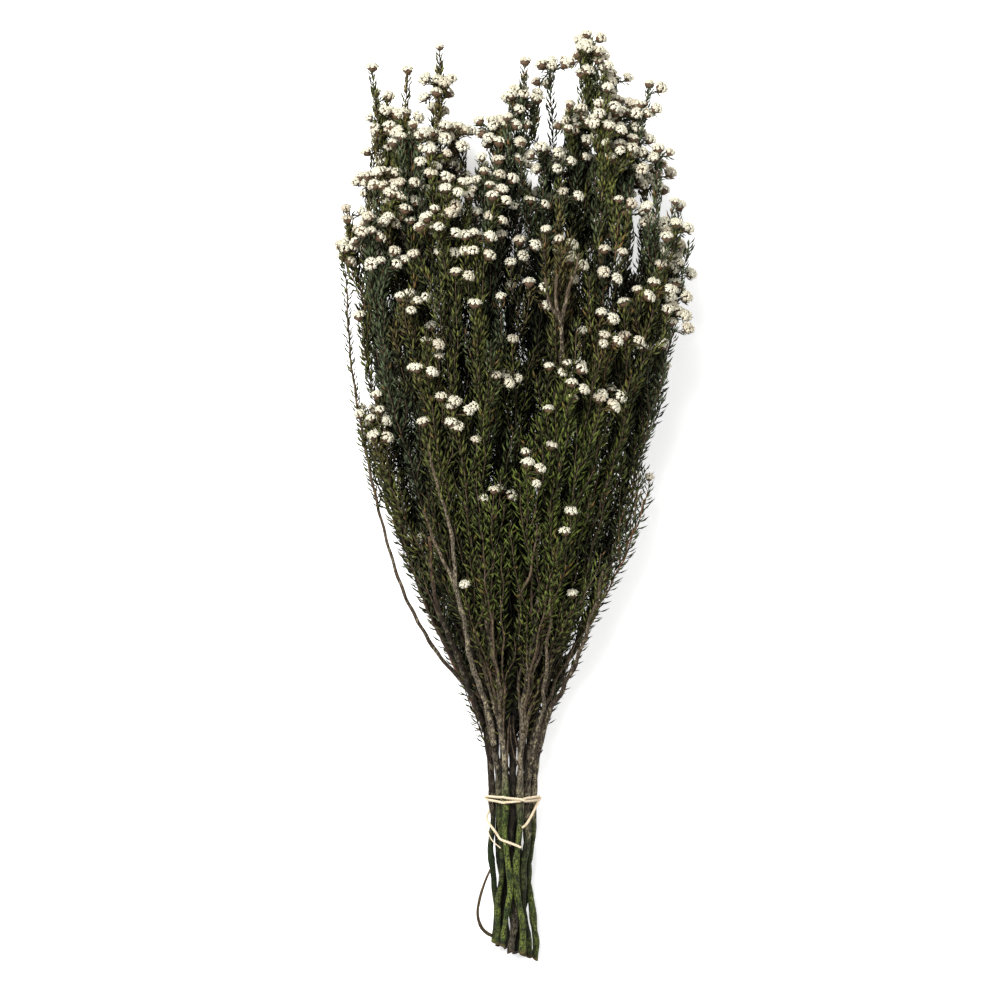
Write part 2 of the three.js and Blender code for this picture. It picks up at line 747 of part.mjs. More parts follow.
function growTie() {
  const lift = TWINE_RADIUS + TWINE_LIFT;
  const strand = (points, closed) => {
    const skin = new Skin();
    const count = points.length;
    const rings = points.map((point, k) => {
      const before = closed ? points[(k + count - 1) % count] : points[Math.max(k - 1, 0)];
      const after = closed ? points[(k + 1) % count] : points[Math.min(k + 1, count - 1)];
      const along = after.clone().sub(before).normalize();
      const up = vec(0, 1, 0).addScaledVector(along, -along.y).normalize();
      const frame = { point, along, up, side: along.clone().cross(up) };
      return skin.ring(frame, TWINE_RADIUS, TWINE_SIDES, 0);
    });
    for (let k = 0; k + 1 < count; k += 1) skin.bridge(rings[k], rings[k + 1]);
    if (closed) {
      skin.bridge(rings[count - 1], rings[0]);
    } else {
      skin.cap(rings[0], false);
      skin.cap(rings[count - 1], true);
    }
    return skin.solid();
  };
  const turn = (way) => {
    const points = [];
    for (let k = 0; k < TWINE_STEPS; k += 1) {
      const angle = ((k + 0.25 * way) * 2 * Math.PI) / TWINE_STEPS;
      const bow = TWINE_BOW.least + (TWINE_BOW.most - TWINE_BOW.least) * Math.abs(Math.sin(angle));
      points.push(onBundle(angle, way * bow, lift));
    }
    return strand(points, true);
  };
  const loose = ({ angles, ys, sag }) => {
    const points = [];
    for (let k = 0; k <= LOOSE_STEPS; k += 1) {
      const t = k / LOOSE_STEPS;
      const angle = angles[0] + (angles[1] - angles[0]) * t;
      const y = ys[0] + (ys[1] - ys[0]) * t + sag * Math.sin(Math.PI * t);
      const rise = LOOSE_RISE.root + (LOOSE_RISE.end - LOOSE_RISE.root) * t;
      points.push(onBundle(angle, y, lift + rise));
    }
    return strand(points, false);
  };
  return LOOSE_ENDS.reduce((whole, end) => whole.add(loose(end)), turn(1).add(turn(-1)));
}

const group = new THREE.Group();
group.position.set(-BOX_MIDDLE.x, -BOX_MIDDLE.y, 0);

function addPiece(name, solid, colour, roughness) {
  const material = new THREE.MeshStandardMaterial({ color: colour, roughness, metalness: 0 });
  const mesh = new THREE.Mesh(toGeometry(solid), material);
  mesh.name = name;
  group.add(mesh);
}

for (const stem of STEMS) addPiece(stem.name, trimFlat(growStem(stem)), 0x3f4a22, 0.85);
addPiece('tie_twine', growTie(), 0xe6d8b8, 0.9);

export default group;
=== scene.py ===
"""The looks of a dried phylica bunch: bark, needle leaves, flower heads and the twine that ties the stems.

The stems grow by the same rule and the same seeded draws as the part's solids. Lengths in the growing are in
millimetres from the middle of the tie, and every mesh is in metres in the part's frame.
"""

import json
import logging
import math
from collections.abc import Callable, Iterable, Iterator
from dataclasses import dataclass, field
from enum import Enum
from itertools import product

import bmesh
import bpy
import numpy as np
from mathutils import Matrix, Vector

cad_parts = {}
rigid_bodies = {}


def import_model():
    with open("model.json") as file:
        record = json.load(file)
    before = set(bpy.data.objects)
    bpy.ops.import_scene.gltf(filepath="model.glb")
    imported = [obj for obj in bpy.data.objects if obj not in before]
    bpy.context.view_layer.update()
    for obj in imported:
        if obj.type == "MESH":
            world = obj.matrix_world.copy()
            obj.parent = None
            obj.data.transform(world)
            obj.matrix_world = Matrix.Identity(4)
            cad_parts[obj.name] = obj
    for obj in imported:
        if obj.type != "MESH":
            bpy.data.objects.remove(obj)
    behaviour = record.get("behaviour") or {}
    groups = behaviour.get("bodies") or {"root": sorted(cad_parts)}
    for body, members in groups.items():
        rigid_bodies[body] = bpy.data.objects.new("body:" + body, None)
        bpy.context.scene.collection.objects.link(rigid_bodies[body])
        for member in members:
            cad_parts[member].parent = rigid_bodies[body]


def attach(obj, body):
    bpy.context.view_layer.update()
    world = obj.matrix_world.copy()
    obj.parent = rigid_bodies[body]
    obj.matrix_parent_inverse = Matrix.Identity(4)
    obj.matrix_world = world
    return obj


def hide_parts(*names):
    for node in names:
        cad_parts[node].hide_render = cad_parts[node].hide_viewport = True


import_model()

log = logging.getLogger("phylica")

MM = 0.001
GOLDEN_TURN = 2.399963
TURN = 6.28  # a full turn, as the part's source rounds it
X_AXIS, Y_AXIS, Z_AXIS = (1.0, 0.0, 0.0), (0.0, 1.0, 0.0), (0.0, 0.0, 1.0)
BOX_MIDDLE = np.array([1.85, 195.2, 0.0])  # the part's origin, seen from the middle of the tie
BOX_LOW = np.array([-116.0, -301.0, 0.0]) + BOX_MIDDLE
BOX_HIGH = np.array([116.0, 301.0, 129.5]) + BOX_MIDDLE
WAVER_FROM = 45.0  # the distance from the tie at which the wood wavers fully
LYING = 5.0  # branches lower than this bend up to lie on the surface
HEAD_REACH = 4.0  # how far a flower head reaches from its middle
NEEDLE_SEED, BLOOM_SEED = 10, 50  # the seeds of the first stem's needles and heads
# The wood's waves in x and in z: each one's height and its lengths along y, x and z, over a full turn
WAVES = {0: ((0.8, 17, 3, 4), (0.3, 6.1, -3, 2.6)), 2: ((0.8, 19, -4, 3), (0.3, 7.3, 3, -4))}


def inside(points: np.ndarray, room: float = 0.0) -> bool:
    """Says whether points lie in the bunch's box, with some room to spare."""
    return bool(np.all(points > BOX_LOW + room) and np.all(points < BOX_HIGH - room))


def unit(vector: np.ndarray) -> np.ndarray:
    """Scales a vector to length one."""
    return vector / np.linalg.norm(vector)


def smooth(share: float | np.ndarray) -> float | np.ndarray:
    """Eases a share from 0 to 1 in and out."""
    return share * share * (3 - 2 * share)


def eased(value: float | np.ndarray) -> float | np.ndarray:
    """Keeps a value between 0 and 1, and eases it in and out."""
    return smooth(np.clip(value, 0, 1))


def run_along(line: np.ndarray) -> np.ndarray:
    """Measures how far along a line each of its points lies."""
    return np.concatenate([[0], np.cumsum(np.linalg.norm(np.diff(line, axis=0), axis=1))])


def even(points: np.ndarray, step: float) -> np.ndarray:
    """Smooths a line of points and steps along it evenly.

    Args:
        points: The line's points.
        step: The distance from one new point to the next.

    Returns:
        The new points.
    """
    last = len(points) - 1
    t = np.linspace(0, 1, 16, endpoint=False)[:, None]
    fine = []
    for i in range(last):
        a, b, c, d = (points[min(max(i + k, 0), last)] for k in (-1, 0, 1, 2))
        fine.append(0.5 * (2 * b + (c - a) * t + (2 * a - 5 * b + 4 * c - d) * t ** 2
                           + (3 * b - a - 3 * c + d) * t ** 3))
    fine = np.vstack([*fine, points[-1:]])
    run = run_along(fine)
    wanted = np.linspace(0, run[-1], max(int(run[-1] / step), 2))
    return np.stack([np.interp(wanted, run, fine[:, k]) for k in range(3)], axis=1)


def settle(points: np.ndarray) -> np.ndarray:
    """Gives points the wavering of real wood, and lays what hangs too low on the surface.

    The wavering depends on the place alone, so that what grows on a branch stays on it. It dies out at
    the tie.

    Args:
        points: One row of x, y and z for each point.

    Returns:
        The moved points.
    """
    x, y, z = points[..., 0], points[..., 1], points[..., 2]
    free = eased(np.abs(y) / WAVER_FROM)
    moved = np.array(points, float)
    for axis, waves in WAVES.items():
        moved[..., axis] += free * sum(high * np.sin(y / along + x / across + z / up)
                                       for high, along, across, up in waves)
    low = moved[..., 2]
    moved[..., 2] = np.where(low < LYING, LYING * np.exp((np.minimum(low, LYING) - LYING) / LYING), low)
    return moved


class Draws:
    """A repeatable stream of numbers from 0 to 1."""

    def __init__(self, seed: int) -> None:
        """Starts the stream at a seed, which fixes every draw."""
        self.state = seed

    @classmethod
    def apart(cls, seed: int) -> "Draws":
        """Starts a stream that has nothing in common with that of the next seed."""
        draws = cls(seed * 2654435761 & 0xFFFFFFFF)
        for _ in range(3):
            draws()
        return draws

    def __call__(self) -> float:
        """Draws the next number."""
        self.state = (self.state * 1664525 + 1013904223) & 0xFFFFFFFF
        return self.state / 4294967296

    def between(self, low: float, high: float) -> float:
        """Draws a number between two limits."""
        return low + (high - low) * self()


@dataclass(frozen=True)
class Profile:
    """A smooth curve through rows whose first value is the place y.

    Attributes:
        rows: The rows, each y and then its values.
    """

    rows: tuple[tuple[float, ...], ...]

    def read(self, column: int, place: np.ndarray) -> np.ndarray:
        """Reads one column of the rows.

        Args:
            column: The column, from 1.
            place: The places y.

        Returns:
            The value at each place.
        """
        table = np.array(self.rows)
        places, values = table[:, 0], table[:, column]
        last = len(places) - 1
        place = np.clip(place, places[0], places[last])
        i = np.clip(np.searchsorted(places, place, side="left") - 1, 0, last - 1)
        low = np.maximum(np.arange(last + 1) - 1, 0)
        high = np.minimum(np.arange(last + 1) + 1, last)
        slopes = (values[high] - values[low]) / (places[high] - places[low])
        step = places[i + 1] - places[i]
        t = (place - places[i]) / step
        t2, t3 = t * t, t * t * t
        return ((2 * t3 - 3 * t2 + 1) * values[i] + (t3 - 2 * t2 + t) * step * slopes[i]
                + (3 * t2 - 2 * t3) * values[i + 1] + (t3 - t2) * step * slopes[i + 1])


OUTLINE = Profile((
    (-106, 16.5, 13.6, 13.0), (0, 17.5, 14.5, 19.0), (43, 24, 19, 23.5), (69, 34, 24, 28), (95, 48, 31, 35),
    (124, 62, 38, 42), (163, 74, 45, 49), (198, 82, 50, 54), (257, 93, 57, 61), (328, 104, 62, 66),
    (360, 107, 64, 68), (420, 107, 63, 68), (500, 104, 60, 68),
))
STEM_TAPER = Profile(((-106, 1.0), (0, 0.92), (60, 0.84), (120, 0.66), (200, 0.46), (300, 0.32), (500, 0.22)))


def outline(y: np.ndarray) -> tuple[np.ndarray, np.ndarray, np.ndarray]:
    """Gives the outline's half width, its half height and the height of its middle at y."""
    wide, thick, middle = (OUTLINE.read(column, y) for column in (1, 2, 3))
    return wide, thick, middle


def in_outline(u: np.ndarray, v: np.ndarray, y: np.ndarray) -> np.ndarray:
    """Finds points in the bunch's outline.

    Args:
        u: The places across, from -1 to 1.
        v: The places up, from -1 to 1.
        y: The places along the stems.

    Returns:
        One row of x, y and z for each place.
    """
    wide, thick, middle = outline(y)
    return np.stack([wide * u, y, middle + thick * v], axis=-1)


def shares_of(points: np.ndarray, margin: float = 0.0) -> tuple[np.ndarray, np.ndarray]:
    """Finds how far across and up in the outline points lie, as shares of its half sizes.

    Args:
        points: The points.
        margin: How far the outline is widened.

    Returns:
        The shares across and the shares up.
    """
    wide, thick, middle = outline(points[..., 1])
    return points[..., 0] / (wide + margin), (points[..., 2] - middle) / (thick + margin)


def within(points: np.ndarray, margin: float) -> bool:
    """Says whether points lie in the bunch's outline, widened by a margin."""
    return bool(np.all(np.hypot(*shares_of(points, margin)) < 1))


@dataclass(frozen=True)
class Patch:
    """A place lower in the bunch where tips flower in a group, as x, y and reach."""

    x: float
    y: float
    reach: float

    EDGE = 1.25  # how many reaches away the patch ends

    def share(self, x: float, y: float) -> float:
        """Says how far a tip belongs to the patch."""
        return float(smooth(max(self.EDGE - math.hypot(x - self.x, y - self.y) / self.reach, 0.0)))


@dataclass(frozen=True)
class Hollow:
    """A gap in the bunch.

    Attributes:
        x: The place of its middle across.
        y: The place of its middle along.
        across: Half its size across.
        along: Half its size along.
        through: Whether it goes all the way through, or is in the front only.
    """

    x: float
    y: float
    across: float
    along: float
    through: bool = True

    # Painted shade: how high and how far round the gap the colours behind it are darkened.
    SHADE_TOP, SHADE_FADE = 0.7, 0.3  # how high in the outline its shade reaches, and where it fades
    SHADE_EDGE, EDGE_FADE = 1.3, 0.5  # the same for how far from its middle

    def holds(self, points: np.ndarray) -> bool:
        """Says whether any of some points lies in the gap."""
        _, up = shares_of(points)
        return bool(np.any((self.away(points) < 1) & (self.through | (up > 0))))

    def away(self, points: np.ndarray) -> np.ndarray:
        """Measures how far points lie from the gap's middle, in its half sizes."""
        return np.hypot((points[:, 0] - self.x) / self.across, (points[:, 1] - self.y) / self.along)

    def dims(self, points: np.ndarray) -> np.ndarray:
        """Says how far a gap that doesn't go through keeps the light from what lies behind it, as painted
        shade.
        """
        _, up = shares_of(points)
        below = eased((self.SHADE_TOP - up) / self.SHADE_FADE)
        near = eased((self.SHADE_EDGE - self.away(points)) / self.EDGE_FADE)
        return below * near * (not self.through)


HOLLOWS = (
    Hollow(7, 324, 17, 32, through=False), Hollow(64, 334, 11, 14, through=False), Hollow(-33, 432, 16, 25),
    Hollow(-13, 452, 9, 9), Hollow(25, 439, 11, 22), Hollow(95, 403, 9, 36), Hollow(-99, 388, 6, 18),
    Hollow(112, 322, 9, 44), Hollow(79.5, 386, 4, 26), Hollow(70, 468, 11, 11))


@dataclass(frozen=True)
class Flowering:
    """Where tips flower: nearly everywhere at the top of the bunch, and in patches on its front lower down.

    Attributes:
        line: The height y above which every tip flowers, by its place x.
        fade: How far below the line the last of them flower.
        heart: The share of the outline, round its middle, that has no heads because it lies hidden.
        open_end: The height y above which the middle flowers too.
        front: How far behind the middle the patches reach, as a share of the outline.
        patches: The patches.
    """

    line: Profile = Profile(((-116, 362), (-60, 364), (-15, 368), (12, 374), (34, 412), (76, 412), (92, 350),
                             (116, 304)))
    fade: float = 32.0
    heart: float = 0.48
    open_end: float = 405.0
    front: float = 0.4
    patches: tuple[Patch, ...] = (
        Patch(-86, 244, 15), Patch(-56, 314, 11), Patch(-38, 326, 10), Patch(-3, 270, 14), Patch(26, 270, 12),
        Patch(53, 258, 12), Patch(24, 301, 10), Patch(-36, 246, 9), Patch(24, 218, 9), Patch(-17, 192, 8),
        Patch(8, 192, 8), Patch(-52, 169, 7), Patch(-75, 173, 7), Patch(22, 163, 7), Patch(-8, 155, 7),
        Patch(41, 186, 7), Patch(-4, 122, 7), Patch(-21, 112, 7), Patch(29, 109, 7), Patch(17, 56, 7),
        Patch(69, 236, 8), Patch(80, 294, 12),
    )

    def share(self, point: np.ndarray) -> float:
        """Says how likely a tip at a place flowers."""
        x, y = float(point[0]), float(point[1])
        across, up = shares_of(point)
        if math.hypot(across, up) < self.heart and y < self.open_end:
            return 0.0
        high = 1 + (y - float(self.line.read(1, np.float64(x)))) / self.fade
        front = min(max(float(up) + self.front, 0.0), 1.0)
        patch = min(max(patch.share(x, y) for patch in self.patches), 1.0)
        return max(float(eased(high)), front * patch)


FLOWERING = Flowering()


@dataclass(frozen=True)
class Spray:
    """One spray of a stem: the place of its tip in the outline, the tip's y and its flower heads."""

    u: float
    v: float
    top: float
    heads: int


@dataclass
class Stem:
    """One cut stem, with its leader as the first of its sprays."""

    name: str
    u: float
    v: float
    foot: float
    radius: float
    sprays: list[Spray]
    sway: float = 0.0
    phase: float = 0.0

    LEADER_FROM = 0.50
    OUTWARD = 1.15  # the power by which the stem moves out in the outline
    SWAY_FROM = 90.0
    SWAY_ACROSS = 42.0
    SWAY_UP = 36.0
    UP_SHARE = 0.7

    @property
    def trunk_top(self) -> float:
        """Gives the height where the leader takes over."""
        return self.sprays[0].top * self.LEADER_FROM

    def place(self, y: np.ndarray) -> tuple[np.ndarray, np.ndarray]:
        """Gives the stem's place in the outline at y."""
        out = np.power(np.maximum(y, 0) / self.sprays[0].top, self.OUTWARD)
        return self.u + (self.sprays[0].u - self.u) * out, self.v + (self.sprays[0].v - self.v) * out

    def points(self, y: np.ndarray) -> np.ndarray:
        """Gives the stem's middle line at y."""
        y = np.asarray(y, float)
        u, v = self.place(y)
        found = in_outline(u, v, y)
        free = eased(y / self.SWAY_FROM)
        found[..., 0] += self.sway * free * np.sin(y / self.SWAY_ACROSS + self.phase)
        found[..., 2] += self.UP_SHARE * self.sway * free * np.sin(y / self.SWAY_UP + 2 * self.phase)
        return found

    def girth(self, y: np.ndarray) -> np.ndarray:
        """Gives the stem's radius at y."""
        return self.radius * STEM_TAPER.read(1, y)


@dataclass(frozen=True)
class Stance:
    """A place on a branch with the ways along it, up and to its side."""

    point: np.ndarray
    along: np.ndarray
    up: np.ndarray
    side: np.ndarray

    def around(self, angle: float) -> np.ndarray:
        """Gives the way out at an angle round the branch."""
        return self.up * math.cos(angle) + self.side * math.sin(angle)


@dataclass(frozen=True)
class Head:
    """One flower head: its middle and the way it faces."""

    centre: np.ndarray
    facing: np.ndarray


@dataclass
class Branch:
    """A leader, spray or side shoot, as a curve from t = 0 at its root to t = 1 at its tip."""

    stem: Stem
    curve: Callable[[np.ndarray], np.ndarray]
    length: float
    heads: int
    root_radius: float
    leafy_from: float
    free: float
    shoots: list["Branch"] = field(default_factory=list)

    LEAFY_RADIUS = 0.8
    TOP_RISE = (8.0, 11.0)  # how far over the tip the top head sits, in a small and in a large cluster
    RING = ((5.0, 10.2), (8.5, 8.6))  # how far up and out the heads round it sit, in turn
    HEAD_LEAN = 0.69
    CROWD_ROOM = 6.7
    CROWD_TRIES = 12
    CROWD_LEAN = (0.3, 1.0)
    CROWD_UP = (-7, 9)
    CROWD_OUT = (4, 12)
    CROWD_MOST = 1.6
    CROWD_FROM = 230
    CROWD_OVER = 120

    def stance(self, t: float) -> Stance:
        """Gives the place and the ways at t."""
        low, here, high = self.curve(np.array([max(t - 0.01, 0.0), t, min(t + 0.01, 1.0)]))
        along = unit(high - low)
        up = unit(np.array([0.0, 0.0, 1.0]) - along * along[2])
        return Stance(here, along, up, np.cross(along, up))

    def crowd(self) -> Iterator[Head]:
        """Gives the lesser heads that fill a tip's cluster, too many for the part's solids.

        Yields:
            Each head that finds room beside the tip's own.
        """
        taken = [head.centre for head in self.head_spots()]
        draws = Draws.apart(int(self.length * 53 + self.heads * 7))
        tip = self.stance(1.0)
        high = eased((tip.point[1] - self.CROWD_FROM) / self.CROWD_OVER)
        more = self.CROWD_MOST * FLOWERING.share(tip.point) * high
        for _ in range(self.CROWD_TRIES * self.heads if self.heads > 1 else 0):
            out = tip.around(draws.between(0, TURN))
            lean = draws.between(*self.CROWD_LEAN)
            centre = tip.point + tip.along * draws.between(*self.CROWD_UP)
            centre = centre + out * draws.between(*self.CROWD_OUT)
            apart = min(np.linalg.norm(centre - other) for other in taken)
            if apart > self.CROWD_ROOM and inside(centre, HEAD_REACH):
                taken.append(centre)
                yield Head(centre, tip.along * math.cos(lean) + out * math.sin(lean))
            if len(taken) >= self.heads * (1 + more):
                break

    def head_spots(self) -> list[Head]:
        """Gives the flower heads of the tip: one on it and the others round it."""
        if self.heads < 1:
            return []
        tip = self.stance(1.0)
        beside = self.heads - 1
        found = [Head(tip.point + tip.along * self.TOP_RISE[beside > 2], tip.along)]
        for i in range(beside):
            spot = i if beside > 3 else (2 * i) % 6
            up, far = self.RING[spot % 2]
            out = tip.around((spot + 1) * math.pi / 3)
            facing = tip.along * math.cos(self.HEAD_LEAN) + out * math.sin(self.HEAD_LEAN)
            found.append(Head(tip.point + tip.along * up + out * far, facing))
        return found


@dataclass(frozen=True)
class ShootKind:
    """How one kind of side shoot grows on a spray. Places are shares of the spray's length."""

    most: int
    place: tuple[float, float]
    length: tuple[float, float]
    spread: float
    flower: float


LEAFY_SHOOTS = ShootKind(2, (0.46, 0.70), (42, 62), 0.27, 0.34)
FLOWER_SHOOTS = ShootKind(2, (0.72, 0.88), (20, 32), 0.44, 1.0)
SHOOT_ALONG = 0.6  # how far a shoot follows its parent, against how far it turns to the top
SHOOT_TO_TOP = np.array([0.0, 0.4, 0.0])
SHOOT_BEND = 1.8


def shoot(parent: Branch, place: float, angle: float, length: float, spread: float, heads: int) -> Branch:
    """Grows a side shoot out of a branch.

    Args:
        parent: The branch that it grows on.
        place: Its place on the parent, from 0 to 1.
        angle: The angle round the parent that it leaves at.
        length: Its length.
        spread: How far it stands off, as a share of its length.
        heads: The number of flower heads on its tip.

    Returns:
        The shoot.
    """
    root = parent.stance(place)
    out = root.around(angle)
    lift = unit(root.along * SHOOT_ALONG + SHOOT_TO_TOP)

    def curve(t: np.ndarray) -> np.ndarray:
        """Follows the shoot."""
        t = np.asarray(t, float)[:, None]
        return root.point + lift * (length * t) + out * (length * spread * (1 - np.power(1 - t, SHOOT_BEND)))

    return Branch(parent.stem, curve, length, heads, Branch.LEAFY_RADIUS, leafy_from=0.1, free=0.4)


@dataclass
class Standing:
    """What already stands in the bunch, as points with room round them."""

    GAP = 0.5
    LEAFY_ROOM = 1.7
    HEAD_ROOM = 4.9
    REACH = 10.4
    STEP = 3

    points: np.ndarray = field(default_factory=lambda: np.zeros((0, 3)))
    room: np.ndarray = field(default_factory=lambda: np.zeros(0))
    stems: np.ndarray = field(default_factory=lambda: np.zeros(0, int))

    def add(self, points: np.ndarray, room: np.ndarray, stem: int) -> None:
        """Stands more points of one stem in the bunch."""
        self.points = np.concatenate([self.points, points])
        self.room = np.concatenate([self.room, room])
        self.stems = np.concatenate([self.stems, np.full(len(room), stem)])

    def sample(self, branch: Branch) -> tuple[np.ndarray, np.ndarray, np.ndarray]:
        """Breaks a branch and its heads into points.

        Args:
            branch: The branch.

        Returns:
            The points, the room round each and its place t.
        """
        count = math.ceil(branch.length / self.STEP)
        t = np.arange(count + 1) / count
        woody = np.minimum(t / branch.leafy_from, 1)
        woody = branch.root_radius + (Branch.LEAFY_RADIUS - branch.root_radius) * woody
        room = np.where(t < branch.leafy_from, woody, self.LEAFY_ROOM)
        points = branch.curve(t)
        for head in branch.head_spots():
            points = np.concatenate([points, head.centre[None]])
            room = np.append(room, self.HEAD_ROOM)
            t = np.append(t, 1.0)
        return points, room, t

    def crowding(self, sample: tuple[np.ndarray, np.ndarray, np.ndarray], free: float, stem: int) -> float:
        """Says how far the tightest pair falls short of its clearance.

        Args:
            sample: The points, room and places of a branch.
            free: The place from which the branch is kept off its own stem.
            stem: The number of the branch's stem.

        Returns:
            The shortfall, zero or less when the branch stands clear.
        """
        points, room, t = sample
        low, high = points.min(0) - self.REACH, points.max(0) + self.REACH
        near = np.all((self.points > low) & (self.points < high), axis=1)
        if not near.any():
            return -math.inf
        apart = np.linalg.norm(points[:, None] - self.points[near][None], axis=2)
        short = room[:, None] + self.room[near][None] + self.GAP - apart
        short[(t < free)[:, None] & (self.stems[near] == stem)[None]] = -math.inf
        return float(short.max())

    def take(self, ways: Iterator[Branch], stem: int) -> tuple[Branch, float, tuple[np.ndarray, ...]]:
        """Takes the first way of growing that stands clear, or else the least crowded.

        Args:
            ways: The ways of growing, the best first.
            stem: The number of the stem.

        Returns:
            The branch, its shortfall and its points.
        """
        best = None
        for way in ways:
            sample = self.sample(way)
            short = self.crowding(sample, way.free, stem)
            if best is None or short < best[1]:
                best = (way, short, sample)
            if short <= 0:
                break
        return best


@dataclass
class Bunch:
    """The twelve stems and all the branches that grow on them."""

    FIRST_FORK = 52.0
    FORK_STEP = 27.0
    SHORTEST_SPRAY = 96.0
    SPRAY_BEND = 1.7
    SPRAY_LEAFY_FROM = 0.46
    LEADER_LEAFY_FROM = 0.08
    LEAST_ROOT = 1.25
    ROOT_THINNING = 0.62
    OUT_OF_STEM = 0.4
    SHORT_SPRAY = 150.0
    SPRAY_WAYS = 40
    LEAST_NUDGE, NUDGE_STEP = 0.02, 0.005
    ROOT_STEP, ROOT_PLACES = 8, 4
    NEAR_ROOT = 0.02 + 0.01 * np.arange(40)  # where a spray is looked at to see when it leaves its stem
    SHOOT_WAYS = 16
    SHORTER = 0.02
    MOST_SIDE_HEADS = 2.4
    FULL_FLOWER_AT = 330
    REST_SPAN = 70.0
    REST_HEIGHT = 0.3
    RESTS = {("stem_01", 1): 276.0, ("stem_03", 1): 284.0}

    stems: list[Stem]
    standing: Standing = field(default_factory=Standing)
    branches: list[Branch] = field(default_factory=list)

    def grow(self) -> None:
        """Grows the stems, then their sprays, then the side shoots."""
        for i, stem in enumerate(self.stems):
            draws = Draws(101 + 7 * i)
            stem.sway = 1.2 + 1.3 * draws()
            stem.phase = TURN * draws()
            y = np.arange(stem.foot, stem.trunk_top + 1e-9, Standing.STEP)
            self.standing.add(stem.points(y), stem.girth(y), i)
            leader = self.leader(stem)
            self.branches.append(leader)
            points, room, _ = self.standing.sample(leader)
            self.standing.add(points, room, i)
        for i, stem in enumerate(self.stems):
            for order in range(1, len(stem.sprays)):
                found, _, sample = self.standing.take(self.spray_ways(stem, order), i)
                self.branches.append(found)
                self.standing.add(sample[0], sample[1], i)
        for i, branch in enumerate(self.branches):
            draws = Draws(5003 + 31 * i)
            short = 1 if branch.length < self.SHORT_SPRAY else 0
            self.add_shoots(branch, LEAFY_SHOOTS, LEAFY_SHOOTS.most - short, i, draws)
            self.add_shoots(branch, FLOWER_SHOOTS, min(FLOWER_SHOOTS.most, branch.heads), i + 0.5, draws)

    def leader(self, stem: Stem) -> Branch:
        """Grows the upper part of a stem."""
        start, top = stem.trunk_top, stem.sprays[0].top
        return Branch(
            stem, lambda t: stem.points(start + (top - start) * np.asarray(t, float)), top - start,
            stem.sprays[0].heads, float(stem.girth(start)), self.LEADER_LEAFY_FROM, 0.0,
        )

    def spray_ways(self, stem: Stem, order: int) -> Iterator[Branch]:
        """Gives the ways in which a spray may grow, the wanted one first."""
        start = min(self.FIRST_FORK + self.FORK_STEP * (order - 1),
                    stem.sprays[order].top - self.SHORTEST_SPRAY)
        yield self.spray(stem, order, start, (0.0, 0.0))
        for k in range(self.SPRAY_WAYS):
            far = self.LEAST_NUDGE + self.NUDGE_STEP * k
            nudge = (far * math.cos(k * GOLDEN_TURN), far * math.sin(k * GOLDEN_TURN))
            yield self.spray(stem, order, start + self.ROOT_STEP * (k % self.ROOT_PLACES), nudge)

    def spray(self, stem: Stem, order: int, start: float, nudge: tuple[float, float]) -> Branch:
        """Grows a spray out of its stem.

        Args:
            stem: The stem.
            order: The spray's number on the stem, from 1.
            start: The height y of its root.
            nudge: How far its tip is moved in the outline.

        Returns:
            The spray.
        """
        aim = stem.sprays[order]
        root_u, root_v = stem.place(np.float64(start))
        drift = stem.points(start) - in_outline(root_u, root_v, np.float64(start))
        root_radius = max(self.LEAST_ROOT, self.ROOT_THINNING * float(stem.girth(start)))
        rest = self.RESTS.get((stem.name, order))

        def curve(t: np.ndarray) -> np.ndarray:
            """Follows the spray."""
            t = np.asarray(t, float)
            y = start + (aim.top - start) * t
            out = 1 - np.power(1 - t, self.SPRAY_BEND)
            points = in_outline(
                root_u + (aim.u + nudge[0] - root_u) * out, root_v + (aim.v + nudge[1] - root_v) * out, y)
            points = points + drift * (1 - t)[..., None]
            if rest is not None:
                near = np.minimum(np.abs(y - rest) / self.REST_SPAN, 1)
                points[..., 2] += (self.REST_HEIGHT - points[..., 2]) * smooth(1 - near)
            return points

        t = self.NEAR_ROOT
        y = start + (aim.top - start) * t
        apart = np.linalg.norm(curve(t) - stem.points(y), axis=1) - stem.girth(y) - root_radius
        covered = (t < self.SPRAY_LEAFY_FROM - 0.06) & (apart < self.OUT_OF_STEM)
        free = float(t[np.argmin(covered)]) + 0.08
        return Branch(stem, curve, aim.top - start, aim.heads, root_radius, self.SPRAY_LEAFY_FROM, free)

    def add_shoots(self, branch: Branch, kind: ShootKind, count: int, start: float, draws: Draws) -> None:
        """Grows side shoots of one kind on a branch.

        Args:
            branch: The branch.
            kind: The kind of shoot.
            count: How many to try.
            start: Turns the first one round the branch.
            draws: The stream that places them.
        """
        number = self.stems.index(branch.stem)
        for k in range(count):
            place = kind.place[0] + (kind.place[1] - kind.place[0]) * (k + 0.8 * draws()) / count
            turn = GOLDEN_TURN * (2 * k + start) + draws()
            length = kind.length[0] + (kind.length[1] - kind.length[0]) * draws()
            reach = min(float(branch.curve(np.array([place]))[0, 1]) / self.FULL_FLOWER_AT, 1)
            flowers = draws() < kind.flower * (0.4 + 0.6 * reach)
            heads = 1 + math.floor(self.MOST_SIDE_HEADS * draws() * reach) if flowers else 0
            ways = (shoot(branch, place, turn + GOLDEN_TURN * j, length * (1 - self.SHORTER * j), kind.spread,
                          heads) for j in range(self.SHOOT_WAYS))
            found, short, sample = self.standing.take(ways, number)
            if short > 0:
                continue
            branch.shoots.append(found)
            self.standing.add(sample[0], sample[1], number)


